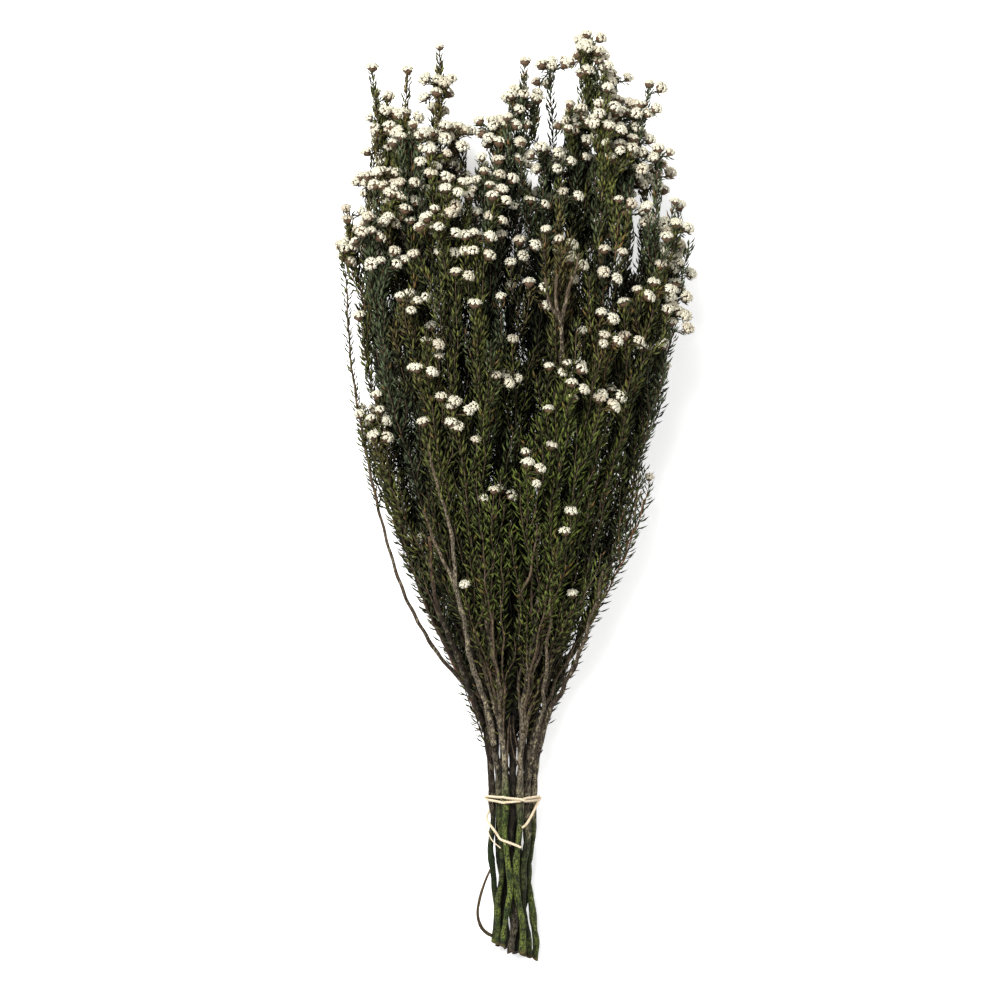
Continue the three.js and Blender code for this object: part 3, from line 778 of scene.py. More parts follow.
def stems_of_the_bunch() -> list[Stem]:
    """Lists the twelve stems, row by row from the surface up."""
    rows = (
        ("stem_01", -0.50, -0.74, -98, 3.3, (
            (-0.60, -0.70, 402, 3), (-0.34, -0.86, 352, 2), (-0.80, -0.52, 330, 2),
            (-0.50, -0.84, 262, 1))),
        ("stem_02", 0.00, -0.74, -103, 3.6, (
            (-0.06, -0.76, 408, 3), (0.14, -0.90, 352, 2), (-0.12, -0.88, 290, 1),
            (0.06, -0.80, 222, 1))),
        ("stem_03", 0.50, -0.74, -105, 3.2, (
            (0.56, -0.68, 418, 3), (0.36, -0.86, 362, 2), (0.80, -0.52, 338, 2),
            (0.52, -0.84, 266, 1))),
        ("stem_04", -0.76, -0.25, -95, 3.0, (
            (-0.96, -0.10, 362, 3), (-0.87, -0.34, 398, 2), (-0.97, 0.06, 306, 1),
            (-0.92, -0.22, 248, 2), (-0.94, 0.12, 190, 0))),
        ("stem_05", -0.27, -0.33, -99, 3.4, (
            (-0.44, -0.14, 462, 4), (-0.34, -0.44, 430, 3), (-0.66, -0.30, 438, 3),
            (-0.24, -0.55, 372, 2))),
        ("stem_06", 0.26, -0.25, -102, 3.5, (
            (0.45, -0.16, 488, 3), (0.24, -0.26, 472, 3), (0.62, -0.34, 464, 3),
            (0.36, -0.52, 418, 2), (0.20, -0.50, 366, 2))),
        ("stem_07", 0.76, -0.25, -106, 3.1, (
            (0.97, -0.08, 366, 3), (0.86, -0.30, 402, 3), (0.98, 0.14, 322, 2),
            (0.92, -0.38, 284, 1), (0.96, 0.06, 196, 0))),
        ("stem_08", -0.50, 0.25, -96, 3.3, (
            (-0.78, 0.12, 436, 4), (-0.60, 0.30, 424, 4), (-0.86, 0.42, 366, 3),
            (-0.88, 0.34, 240, 3), (-0.62, 0.52, 318, 2))),
        ("stem_09", -0.02, 0.33, -101, 3.6, (
            (0.03, 0.06, 448, 4), (-0.12, 0.20, 430, 3), (0.19, 0.14, 412, 3),
            (-0.24, 0.42, 396, 3), (0.04, 0.50, 352, 2))),
        ("stem_10", 0.50, 0.25, -104, 3.2, (
            (0.74, 0.12, 438, 4), (0.86, 0.24, 412, 3), (0.52, 0.32, 440, 3),
            (0.62, 0.50, 378, 2), (0.86, 0.44, 326, 2))),
        ("stem_11", -0.26, 0.74, -97, 3.0, (
            (-0.42, 0.64, 384, 3), (-0.22, 0.74, 356, 3), (-0.56, 0.74, 288, 2),
            (-0.38, 0.86, 234, 1), (-0.16, 0.94, 194, 1), (-0.44, 0.82, 134, 1))),
        ("stem_12", 0.26, 0.74, -100, 2.9, (
            (0.28, 0.66, 352, 3), (0.54, 0.70, 306, 2), (0.33, 0.84, 274, 3),
            (0.10, 0.90, 218, 1), (0.42, 0.88, 168, 1), (0.56, 0.74, 128, 1))),
    )
    return [Stem(name, u, v, foot, radius, [Spray(*spray) for spray in sprays])
            for name, u, v, foot, radius, sprays in rows]


class Wire:
    """A node's output on which arithmetic can be written."""

    def __init__(self, graph: "Graph", socket: bpy.types.NodeSocket) -> None:
        """Wraps an output of a graph, to which new nodes are added."""
        self.graph = graph
        self.socket = socket

    def other(self, name: str) -> "Wire":
        """Gives another output of the same node."""
        return Wire(self.graph, self.graph.find(self.socket.node.outputs, name))

    def math(self, operation: str, *values: "Wire | float") -> "Wire":
        """Adds a Math node over values."""
        return self.graph.node("ShaderNodeMath", {"operation": operation}, dict(enumerate(values)))

    def __add__(self, value: "Wire | float") -> "Wire":
        """Adds a value."""
        return self.math("ADD", self, value)

    def __sub__(self, value: "Wire | float") -> "Wire":
        """Takes a value away."""
        return self.math("SUBTRACT", self, value)

    def __rsub__(self, value: "Wire | float") -> "Wire":
        """Is taken away from a value."""
        return self.math("SUBTRACT", value, self)

    def __mul__(self, value: "Wire | float") -> "Wire":
        """Multiplies by a value."""
        return self.math("MULTIPLY", self, value)

    __radd__ = __add__
    __rmul__ = __mul__

    def ramp(self, low: float, high: float) -> "Wire":
        """Eases from 0 where the value is low to 1 where it is high."""
        return self.graph.node(
            "ShaderNodeMapRange", {"interpolation_type": "SMOOTHSTEP"},
            {"Value": self, "From Min": low, "From Max": high, "To Min": 0.0, "To Max": 1.0})


class Graph:
    """A node tree of a material or of geometry, with one way to add a node."""

    def __init__(self, tree: bpy.types.NodeTree) -> None:
        """Takes a tree and empties it."""
        self.tree = tree
        tree.nodes.clear()

    @staticmethod
    def find(sockets: Iterable[bpy.types.NodeSocket], name: str | int) -> bpy.types.NodeSocket:
        """Finds a socket by its number, its identifier or its name."""
        listed = list(sockets)
        if isinstance(name, int):
            return listed[name]
        for key in ("identifier", "name"):
            for socket in listed:
                if getattr(socket, key) == name and socket.enabled:
                    return socket
        raise KeyError(name)

    def node(self, kind: str, settings: dict[str, object] | None = None,
             sockets: dict[str | int, object] | None = None, output: str | int = 0) -> Wire:
        """Adds a node.

        Args:
            kind: The node's type.
            settings: Its settings, which are set first.
            sockets: The values or links of its inputs.
            output: The output that is given back.

        Returns:
            The output, or the node's first input where it has no output.
        """
        made = self.tree.nodes.new(kind)
        for name, value in (settings or {}).items():
            setattr(made, name, value)
        self.plug(made, sockets or {})
        if not made.outputs:
            return Wire(self, made.inputs[0])
        return Wire(self, self.find(made.outputs, output))

    def plug(self, node: bpy.types.Node, sockets: dict[str | int, object]) -> None:
        """Gives a node's inputs their values or links."""
        for name, value in sockets.items():
            socket = self.find(node.inputs, name)
            if isinstance(value, Wire):
                self.tree.links.new(value.socket, socket)
            else:
                socket.default_value = value

    def attribute(self, name: str, output: str = "Fac") -> Wire:
        """Reads an attribute of the mesh in a material."""
        return self.node("ShaderNodeAttribute", {"attribute_name": name}, output=output)

    def field(self, name: str, kind: str = "FLOAT") -> Wire:
        """Reads an attribute of the mesh in a geometry tree."""
        return self.node("GeometryNodeInputNamedAttribute", {"data_type": kind}, {"Name": name}, "Attribute")

    def mix(self, share: Wire | float, low: Wire | str, high: Wire | str) -> Wire:
        """Mixes two colours, which are links or display colours such as 6a5d4e."""
        low, high = (colour(tone) if isinstance(tone, str) else tone for tone in (low, high))
        return self.node("ShaderNodeMix", {"data_type": "RGBA"},
                         {"Factor_Float": share, "A_Color": low, "B_Color": high}, "Result_Color")

    def noise(self, place: Wire, scale: float, detail: float = 2.0, rough: float = 0.5) -> Wire:
        """Adds a noise from about 0 to 1."""
        return self.node("ShaderNodeTexNoise", None,
                         {"Vector": place, "Scale": scale, "Detail": detail, "Roughness": rough})

    def stretch(self, place: Wire, shares: tuple[float, float, float]) -> Wire:
        """Multiplies a place by a share along each axis."""
        return self.node("ShaderNodeVectorMath", {"operation": "MULTIPLY"}, {0: place, 1: shares})


def colour(code: str) -> tuple[float, float, float, float]:
    """Turns a display colour such as 6a5d4e into scene values."""
    parts = [int(code[i:i + 2], 16) / 255 for i in (0, 2, 4)]
    linear = [part / 12.92 if part <= 0.04045 else ((part + 0.055) / 1.055) ** 2.4 for part in parts]
    return (*linear, 1.0)


class Finish:
    """A surface finish that builds its material once."""

    name = "finish"
    roughness = 0.7

    def __init__(self) -> None:
        """Builds the material."""
        self.material = bpy.data.materials.new(self.name)
        self.material.use_nodes = True
        graph = Graph(self.material.node_tree)
        self.shader = graph.node("ShaderNodeBsdfPrincipled", None, {"Roughness": self.roughness})
        graph.node("ShaderNodeOutputMaterial", None, {"Surface": self.shader})
        self.graph = graph
        self.place = graph.node("ShaderNodeTexCoord", None, None, "Object")
        self.dress()

    def feed(self, **sockets: Wire | float | tuple[float, ...]) -> None:
        """Feeds the shader's inputs, with their names in lower case and joined by underscores."""
        labels = (name.replace("_", " ").title().replace("Ior", "IOR") for name in sockets)
        self.graph.plug(self.shader.socket.node, dict(zip(labels, sockets.values())))

    def grain(self, scale: float, detail: float = 2, rough: float = 0.5, slim: float | None = None) -> Wire:
        """Adds a noise of a scale, which may be drawn out along the stems.

        Args:
            scale: How fine it is.
            detail: How many finer noises it adds up.
            rough: How strong these are.
            slim: How far it is drawn out.

        Returns:
            The noise, from about 0 to 1.
        """
        place = self.place if slim is None else self.graph.stretch(self.place, (1.0, slim, 1.0))
        return self.graph.noise(place, scale, detail, rough)

    def bump(self, height: Wire, depth: float, strength: float) -> Wire:
        """Turns a height from 0 to 1 into a bump of a depth in metres."""
        return self.graph.node("ShaderNodeBump", None,
                               {"Height": height, "Distance": depth, "Strength": strength}, "Normal")

    def dress(self) -> None:
        """Adds the finish's own nodes."""


class BarkFinish(Finish):
    """Ridged grey-brown bark with lichen specks, dyed green below the tie, reddish on the young twigs, with
    painted shade deep in the bunch.
    """

    name = "bark"
    roughness = 0.85
    TIE_Y = -0.1952
    OLD = ("130f0b", "5d5242")
    PALE = ("262018", "887d6a")
    WORN = "30261e"
    LICHEN = "b8ab8c"
    PIT = "17100c"
    DARK = "1c130e"
    YOUNG = ("221a14", "76634f")
    RED = "85512f"
    FRESH_MOSS = ("34471c", "738136")
    DULL_MOSS = ("191f11", "3a4122")
    MOSS_GROOVE = "0f130a"
    MOSS_SPECK = "090b05"
    MOSS_SCAR = "10120a"
    CUT = "6b4a34"
    PAINTED_SHADE = "070504"

    def dress(self) -> None:
        """Mixes old bark, young bark, lichen, dye and the pale cut, and paints the shade of the deep places.
        """
        g = self.graph
        girth, shade, moss = (g.attribute(name) for name in ("girth", "shade", "moss"))
        grain = self.grain(1500, 3, 0.6, slim=0.16)
        patches = self.grain(95, 3, 0.6)
        old = g.mix(grain.ramp(0.36, 0.64), *self.OLD)
        old = g.mix((1 - shade).ramp(0.60, 0.88), old, g.mix(grain.ramp(0.36, 0.62), *self.PALE))
        old = g.mix(patches.ramp(0.45, 0.7) * 0.5, old, self.WORN)
        lichen = self.grain(520, 3, 0.7, slim=0.35).ramp(0.52, 0.58) * patches.ramp(0.40, 0.52)
        old = g.mix(lichen * 0.85, old, self.LICHEN)
        old = g.mix(self.grain(1150, 2, 0.6, slim=0.55).ramp(0.53, 0.58) * 0.8, old, self.PIT)
        old = g.mix(shade * 0.75, old, self.DARK)
        young = g.mix(grain.ramp(0.3, 0.7), *self.YOUNG)
        young = g.mix(shade.ramp(0.88, 0.98) * 0.35, young, self.RED)
        tone = g.mix(girth.ramp(0.0007, 0.0015), young, old)
        tone = g.mix(self.dyed(patches, moss) * 0.95, tone, self.green(grain, patches, moss))
        tone = g.mix(g.attribute("cut") * 0.45, tone, self.CUT)
        # Painted shade: the bark fades to near black where it lies deep in the bunch, between the trunks or
        # behind a front gap.
        tone = g.mix(g.attribute("outer") * 0.88 + 0.12, self.PAINTED_SHADE, tone)
        height = grain * 0.7 + self.grain(2400) * 0.3
        self.feed(base_color=tone, normal=self.bump(height, 0.0005, 0.9), roughness=grain * -0.18 + 0.94,
                  specular_ior_level=0.2)

    def dyed(self, patches: Wire, moss: Wire) -> Wire:
        """Says where the bark is green: below the tie, with a ragged edge."""
        y = self.graph.node("ShaderNodeSeparateXYZ", None, {"Vector": self.place}, "Y")
        edge = y + (patches - 0.5) * 0.04 + (0.6 - moss) * 0.05
        return (1 - edge.ramp(self.TIE_Y - 0.030, self.TIE_Y + 0.012)) * moss.ramp(0.05, 0.3)

    def green(self, grain: Wire, patches: Wire, moss: Wire) -> Wire:
        """Mixes the green of the bark below the tie.

        Args:
            grain: The bark's grain.
            patches: The bark's patches.
            moss: How green the stem is.

        Returns:
            The colour.
        """
        g = self.graph
        dull, fresh = (g.mix(patches.ramp(0.38, 0.62), *tones) for tones in (self.DULL_MOSS, self.FRESH_MOSS))
        green = g.mix(grain.ramp(0.30, 0.58), self.MOSS_GROOVE, g.mix(moss, dull, fresh))
        green = g.mix(self.grain(1250, 2, 0.6, slim=0.8).ramp(0.53, 0.57) * 0.9, green, self.MOSS_SPECK)
        return g.mix(self.grain(520, slim=0.8).ramp(0.57, 0.61) * 0.85, green, self.MOSS_SCAR)


class NeedleFinish(Finish):
    """Dried needles: near black green, with fresher ones low in the middle, brown ones here and there, and
    painted shade deep in the bunch.
    """

    name = "needle"
    roughness = 0.6
    COOL = ("1a221b", "525f49")
    OLIVE = ("1f2313", "686a34")
    BROWN = ("271f13", "6c5c3a")
    BRIGHT = ("1f2910", "69782f")
    TIP = "70763f"
    RUSTY = "755632"
    MOTTLE = "0f130a"
    PAINTED_SHADE = "050604"

    def dress(self) -> None:
        """Mixes the tones of the needles and paints the shade of the deep places."""
        g = self.graph
        tone, reach, fresh, hue = (g.attribute(name) for name in ("tone", "reach", "fresh", "hue"))
        cool, olive, brown = (g.mix(tone.ramp(0.1, 0.95), *tones)
                              for tones in (self.COOL, self.OLIVE, self.BROWN))
        aged = g.mix(hue.ramp(0.30, 0.50), cool, olive)
        aged = g.mix(hue.ramp(0.84, 0.94), aged, brown)
        mixed = g.mix(fresh * (hue * 0.5 + 0.5), aged, g.mix(tone.ramp(0.0, 1.0), *self.BRIGHT))
        mixed = g.mix(reach * 0.22, mixed, self.TIP)
        mixed = g.mix(tone.ramp(0.96, 0.98) * 0.8, mixed, self.RUSTY)
        mottle = self.grain(900)
        mixed = g.mix(mottle.ramp(0.4, 0.7) * 0.25, mixed, self.MOTTLE)
        # Painted shade: the needles fade to near black where they lie deep in the bunch.
        mixed = g.mix(g.attribute("outer") * 0.93 + 0.07, self.PAINTED_SHADE, mixed)
        self.feed(base_color=mixed, roughness=mottle * 0.2 + 0.62, normal=self.bump(mottle, 0.0001, 0.5),
                  specular_ior_level=0.15)


class BloomFinish(Finish):
    """Cream florets over tan bracts, with painted shade in the florets' sunk middles, in the gaps between
    them and on heads deep in the bunch.
    """

    name = "bloom"
    roughness = 0.75
    CREAM = ("e0dbc0", "f2eedb")
    AGED = "b9a68c"
    SHADED = "5d5a48"
    PAINTED_FLORET_SHADE = "5a5528"
    BRACT = ("2b1e15", "77593e")

    def dress(self) -> None:
        """Mixes the florets, the painted shade of their middles and of deep heads, and the bracts under them.
        """
        g = self.graph
        fine = self.grain(2600, 2, 0.6)
        cream = g.mix(fine.ramp(0.35, 0.7), *self.CREAM)
        cream = g.mix(g.attribute("age") * 0.55, cream, self.AGED)
        # Painted shade: heads that lie deep in the bunch turn grey.
        cream = g.mix((1 - g.attribute("outer")) * 0.6, cream, self.SHADED)
        # Painted shade in each floret's sunk middle and in the gaps between florets.
        cream = g.mix(g.attribute("middle").ramp(0.55, 0.95) * 0.9, cream, self.PAINTED_FLORET_SHADE)
        bract = g.mix(fine.ramp(0.3, 0.7), *self.BRACT)
        self.feed(base_color=g.mix(g.attribute("floret"), bract, cream), normal=self.bump(fine, 0.0002, 0.6))


class TwineFinish(Finish):
    """Pale twisted fibre."""

    name = "twine"
    roughness = 0.85
    FIBRE = ("cdb58c", "f3e7cf")
    WORN = "b9986a"

    def dress(self) -> None:
        """Mixes fine fibres along the twine."""
        g = self.graph
        fibres = g.noise(g.stretch(self.place, (1.0, 1.0, 0.6)), 3400, 3, 0.7)
        tone = g.mix(fibres.ramp(0.3, 0.7), *self.FIBRE)
        tone = g.mix(self.grain(260).ramp(0.5, 0.75) * 0.4, tone, self.WORN)
        self.feed(base_color=tone, normal=self.bump(fibres, 0.0003, 0.8))


class FloorFinish(Finish):
    """A plain pale floor."""

    name = "floor"
    roughness = 0.9

    def dress(self) -> None:
        """Lays an even white with the faintest mottle."""
        tone = self.graph.mix(self.grain(3), "f4f4f3", "f7f7f6")
        self.feed(base_color=tone, emission_color=(1.0, 1.0, 1.0, 1.0), emission_strength=0.5)


def mesh_object(name: str, points: np.ndarray, edges: Iterable[tuple[int, int]],
                faces: Iterable[tuple[int, ...]], **attributes: np.ndarray) -> bpy.types.Object:
    """Makes an object out of points, edges or faces.

    Args:
        name: The object's name.
        points: The points, in metres in the part's frame.
        edges: Pairs of points.
        faces: Rings of points.
        **attributes: A value for each point, by name. Rows of three are stored as vectors.

    Returns:
        The object, linked to the scene.
    """
    mesh = bpy.data.meshes.new(name)
    mesh.from_pydata([tuple(point) for point in points], list(edges), list(faces))
    for key, values in attributes.items():
        flat = np.asarray(values, np.float32)
        kind, slot = ("FLOAT_VECTOR", "vector") if flat.ndim == 2 else ("FLOAT", "value")
        mesh.attributes.new(key, kind, "POINT").data.foreach_set(slot, flat.ravel())
    made = bpy.data.objects.new(name, mesh)
    bpy.context.scene.collection.objects.link(made)
    return made


@dataclass
class Lines:
    """A set of separate lines that a geometry tree grows along, with values at each point."""

    points: list[np.ndarray] = field(default_factory=list)
    values: dict[str, list[np.ndarray]] = field(default_factory=dict)

    def add(self, points: np.ndarray, **values: np.ndarray | float) -> None:
        """Adds one line, in millimetres from the tie, with a value or a row of values for its points."""
        self.lay(settle(points), **values)

    def lay(self, points: np.ndarray, **values: np.ndarray | float) -> None:
        """Adds one line whose points are settled already."""
        self.points.append((points - BOX_MIDDLE) * MM)
        for name, value in values.items():
            self.values.setdefault(name, []).append(np.broadcast_to(value, (len(points),)))

    def made(self, name: str) -> bpy.types.Object:
        """Makes the lines an object."""
        edges = []
        start = 0
        for line in self.points:
            edges += [(start + k, start + k + 1) for k in range(len(line) - 1)]
            start += len(line)
        values = {key: np.concatenate(rows) for key, rows in self.values.items()}
        return mesh_object(name, np.concatenate(self.points), edges, (), **values)


class GrownPiece:
    """A geometry tree with named inputs, which turns a plain object into a finished piece."""

    name = "grown"
    inputs: dict[str, tuple[str, object]] = {}

    def __init__(self, finish: Finish) -> None:
        """Builds the tree.

        Args:
            finish: The finish that the tree sets.
        """
        self.tree = bpy.data.node_groups.new(self.name, "GeometryNodeTree")
        self.graph = Graph(self.tree)
        self.tree.interface.new_socket("Geometry", in_out="INPUT", socket_type="NodeSocketGeometry")
        self.tree.interface.new_socket("Geometry", in_out="OUTPUT", socket_type="NodeSocketGeometry")
        self.identifiers: dict[str, str] = {}
        for label, (kind, value) in self.inputs.items():
            made = self.tree.interface.new_socket(label, in_out="INPUT", socket_type=kind)
            self.identifiers[label] = made.identifier
            if value is not None:
                made.default_value = value
        self.entry = self.graph.node("NodeGroupInput", None, None, "Geometry")
        grown = self.grow()
        solid = self.graph.node("GeometryNodeRealizeInstances", None, {"Geometry": grown})
        solid = self.lie(solid)
        dressed = self.graph.node(
            "GeometryNodeSetMaterial", None, {"Geometry": solid, "Material": finish.material})
        self.graph.node("NodeGroupOutput", None, {"Geometry": dressed})
        self.finish = finish

    def size(self, label: str) -> Wire:
        """Gives one of the tree's named inputs."""
        return self.entry.other(label)

    def draw(self, low: Wire | float, high: Wire | float, salt: int) -> Wire:
        """Draws a number for each instance."""
        return self.graph.node(
            "FunctionNodeRandomValue", {"data_type": "FLOAT"},
            {"Min_001": low, "Max_001": high, "Seed": self.size("Seed") + salt}, "Value_001")

    def turned(self, facing: Wire, turns: Iterable[tuple[tuple[float, ...], Wire]]) -> Wire:
        """Turns instances to face a way, and then about their own axes.

        Args:
            facing: The way that they face.
            turns: Pairs of an axis and an angle.

        Returns:
            The rotation.
        """
        rotation = self.graph.node("FunctionNodeAlignRotationToVector", {"axis": "Z"}, {"Vector": facing})
        for axis, angle in turns:
            spin = self.graph.node("FunctionNodeAxisAngleToRotation", None, {"Axis": axis, "Angle": angle})
            rotation = self.graph.node("FunctionNodeRotateRotation", {"rotation_space": "LOCAL"},
                                       {"Rotation": rotation, "Rotate By": spin})
        return rotation

    def store(self, instances: Wire, name: str, value: Wire) -> Wire:
        """Stores a value on each instance."""
        kind = {"data_type": "FLOAT", "domain": "INSTANCE"}
        return self.graph.node("GeometryNodeStoreNamedAttribute", kind,
                               {"Geometry": instances, "Name": name, "Value": value})

    def lie(self, solid: Wire) -> Wire:
        """Flattens on the surface whatever would go through it.

        Args:
            solid: The geometry.

        Returns:
            The geometry, nowhere below the surface.
        """
        g = self.graph
        place = g.node("GeometryNodeInputPosition")
        x, y, z = (g.node("ShaderNodeSeparateXYZ", None, {"Vector": place}, axis) for axis in "XYZ")
        raised = g.node("ShaderNodeCombineXYZ", None, {"X": x, "Y": y, "Z": z.math("MAXIMUM", z, 0.0)})
        return g.node("GeometryNodeSetPosition", None, {"Geometry": solid, "Position": raised})

    def grow(self) -> Wire:
        """Adds the nodes that make the geometry."""
        return self.entry

    def tubes(self, lines: Wire, sides: Wire) -> Wire:
        """Sweeps circles along lines, as wide as the lines' girth says.

        Args:
            lines: A mesh of lines.
            sides: The number of sides of a circle.

        Returns:
            The closed tubes.
        """
        g = self.graph
        curve = g.node("GeometryNodeMeshToCurve", None, {"Mesh": lines})
        ring = g.node("GeometryNodeCurvePrimitiveCircle", None, {"Resolution": sides, "Radius": 1.0})
        return g.node("GeometryNodeCurveToMesh", None,
                      {"Curve": curve, "Profile Curve": ring, "Scale": g.field("girth"), "Fill Caps": True})

    def make(self, name: str, source: bpy.types.Object, **values: object) -> bpy.types.Object:
        """Runs the tree on an object and keeps the result as a plain mesh.

        Args:
            name: The new piece's name.
            source: The object that the tree reads, which is then deleted.
            **values: Values of the tree's inputs, with their names joined by underscores.

        Returns:
            The piece.
        """
        modifier = source.modifiers.new(self.name, "NODES")
        modifier.node_group = self.tree
        for label, value in values.items():
            modifier[self.identifiers[label.replace("_", " ")]] = value
        depsgraph = bpy.context.evaluated_depsgraph_get()
        mesh = bpy.data.meshes.new_from_object(
            source.evaluated_get(depsgraph), preserve_all_data_layers=True, depsgraph=depsgraph)
        source.modifiers.remove(modifier)
        bpy.data.objects.remove(source)
        mesh.name = name
        corners = np.empty(len(mesh.polygons), np.int32)
        mesh.polygons.foreach_get("loop_total", corners)
        mesh.polygons.foreach_set("use_smooth", corners <= 4)
        mesh.materials.clear()
        mesh.materials.append(self.finish.material)
        piece = bpy.data.objects.new(name, mesh)
        bpy.context.scene.collection.objects.link(piece)
        return piece


class Limb(Enum):
    """How thick a limb is, and the label of its number of sides."""

    TWIG = 0.0
    BRANCH = 1.0
    TRUNK = 2.0

    @property
    def label(self) -> str:
        """Gives the name of the tree's input."""
        return f"{self.name.title()} Sides"


class BarkTubes(GrownPiece):
    """Round limbs along lines, with ridged bark."""

    name = "bark_tubes"
    inputs = {
        Limb.TRUNK.label: ("NodeSocketInt", 14),
        Limb.BRANCH.label: ("NodeSocketInt", 7),
        Limb.TWIG.label: ("NodeSocketInt", 3),
        "Ridge Height": ("NodeSocketFloat", 0.24),
        "Ridge Scale": ("NodeSocketFloat", 620.0),
    }

    def grow(self) -> Wire:
        """Sweeps circles along the lines and raises the bark's ridges."""
        g = self.graph
        joined = g.node("GeometryNodeJoinGeometry")
        limb = g.field("limb")
        for kind in Limb:
            chosen = g.node("GeometryNodeSeparateGeometry", {"domain": "POINT"}, {
                "Geometry": self.entry, "Selection": limb.math("COMPARE", limb, kind.value, 0.2)})
            g.tree.links.new(self.tubes(chosen, self.size(kind.label)).socket, joined.socket.node.inputs[0])
        place = g.node("GeometryNodeInputPosition")
        ridges = g.noise(g.stretch(place, (1.0, 0.14, 1.0)), self.size("Ridge Scale"), 2, 0.55) - 0.5
        knots = g.noise(g.stretch(place, (1.0, 0.6, 1.0)), self.size("Ridge Scale") * 0.3, 2, 0.6) - 0.5
        lift = (ridges * 1.8 + knots * 2.4) * self.size("Ridge Height") * g.field("girth")
        offset = g.node("ShaderNodeVectorMath", {"operation": "SCALE"},
                        {0: g.node("GeometryNodeInputNormal"), "Scale": lift})
        return g.node("GeometryNodeSetPosition", None, {"Geometry": joined, "Offset": offset})


class NeedleRows(GrownPiece):
    """One leaf repeated along lines, turned by the golden angle from one to the next."""

    name = "needle_rows"
    inputs = {
        "Leaf": ("NodeSocketObject", None),
        "Spacing": ("NodeSocketFloat", 0.00112),
        "Tilt": ("NodeSocketFloat", 0.74),
        "Tilt Spread": ("NodeSocketFloat", 0.2),
        "Width": ("NodeSocketFloat", 1.55),
        "Width Lost": ("NodeSocketFloat", 0.85),
        "Least Size": ("NodeSocketFloat", 0.72),
        "Largest Size": ("NodeSocketFloat", 1.12),
        "Seed": ("NodeSocketInt", 1),
    }

    def grow(self) -> Wire:
        """Places the leaves on even steps of the lines."""
        g = self.graph
        line = g.node("GeometryNodeMeshToCurve", None, {"Mesh": self.entry})
        line = g.node("GeometryNodeResampleCurve", {"mode": "LENGTH"},
                      {"Curve": line, "Length": self.size("Spacing") * g.field("sparse")})
        along = g.node("GeometryNodeInputTangent")
        rank = g.node("GeometryNodeInputIndex")
        turn = rank * GOLDEN_TURN + self.draw(-0.35, 0.35, 1)
        tilt = (self.size("Tilt") + self.draw(-1.0, 1.0, 2) * self.size("Tilt Spread")) * g.field("open")
        spread = self.turned(along, ((Z_AXIS, turn), (X_AXIS, tilt)))
        leaf = g.node("GeometryNodeObjectInfo", {"transform_space": "ORIGINAL"},
                      {"Object": self.size("Leaf"), "As Instance": True}, "Geometry")
        size = self.draw(self.size("Least Size"), self.size("Largest Size"), 3)
        size = size * (g.field("fade") * 0.4 + 0.6) * (g.field("sparse") * 0.3 + 0.7)
        across = size * (self.size("Width") - g.field("open") * self.size("Width Lost"))
        scale = g.node("ShaderNodeCombineXYZ", None, {"X": across, "Y": across, "Z": size})
        rows = g.node("GeometryNodeInstanceOnPoints", None,
                      {"Points": line, "Instance": leaf, "Rotation": spread, "Scale": scale})
        return self.store(rows, "tone", self.draw(0.0, 1.0, 4))


class BloomSpots(GrownPiece):
    """Flower heads of several kinds stood on points, each facing its own way."""

    name = "bloom_spots"
    inputs = {
        "Heads": ("NodeSocketCollection", None),
        "Lean Spread": ("NodeSocketFloat", 0.14),
        "Seed": ("NodeSocketInt", 1),
    }

    def grow(self) -> Wire:
        """Stands a head of a drawn kind on each point."""
        g = self.graph
        kinds = g.node("GeometryNodeCollectionInfo", {"transform_space": "ORIGINAL"},
                       {"Collection": self.size("Heads"), "Separate Children": True, "Reset Children": True})
        kind = g.node("FunctionNodeRandomValue", {"data_type": "INT"}, {
            "Min_002": 0, "Max_002": HeadKinds.COUNT - 1, "Seed": self.size("Seed") + 5}, "Value_002")
        lean = self.size("Lean Spread")
        turned = self.turned(g.field("facing", "FLOAT_VECTOR"), (
            (Z_AXIS, self.draw(0.0, TURN, 0)), (X_AXIS, self.draw(-1.0, 1.0, 1) * lean),
            (Y_AXIS, self.draw(-1.0, 1.0, 2) * lean)))
        spots = g.node("GeometryNodeInstanceOnPoints", None, {
            "Points": self.entry, "Instance": kinds, "Pick Instance": True, "Instance Index": kind,
            "Rotation": turned, "Scale": g.field("bulk")})
        # The heads keep their age and their openness, which sets their painted shade.
        for label in ("age", "outer"):
            spots = self.store(spots, label, g.field(label))
        return spots


@dataclass(frozen=True)
class Needle:
    """One needle leaf, incurved and folded along its middle. Its root is at the origin and it points up.

    Attributes:
        length: From root to tip.
        width: At its widest.
        bow: How far its middle stands out from the line between root and tip.
        widest: Where it is widest, as a share of its length.
    """

    length: float = 7.9 * MM
    width: float = 1.85 * MM
    bow: float = 1.0 * MM
    widest: float = 0.5

    def made(self) -> bpy.types.Object:
        """Makes the needle an object."""
        half = 0.5 * self.width
        middle = self.widest * self.length
        points = [(0.0, 0.0, 0.0), (-half, -self.bow, middle), (half, -self.bow, middle),
                  (0.0, 0.0, self.length)]
        faces = [(0, 1, 2), (3, 2, 1), (0, 3, 1), (0, 2, 3)]
        reach = np.array([0.0, self.widest, self.widest, 1.0])
        made = mesh_object("one_needle", np.array(points), (), faces, reach=reach)
        straighten(made.data)
        return made


def straighten(mesh: bpy.types.Mesh) -> None:
    """Turns the faces of a closed mesh outwards."""
    work = bmesh.new()
    work.from_mesh(mesh)
    bmesh.ops.recalc_face_normals(work, faces=work.faces)
    work.to_mesh(mesh)
    work.free()


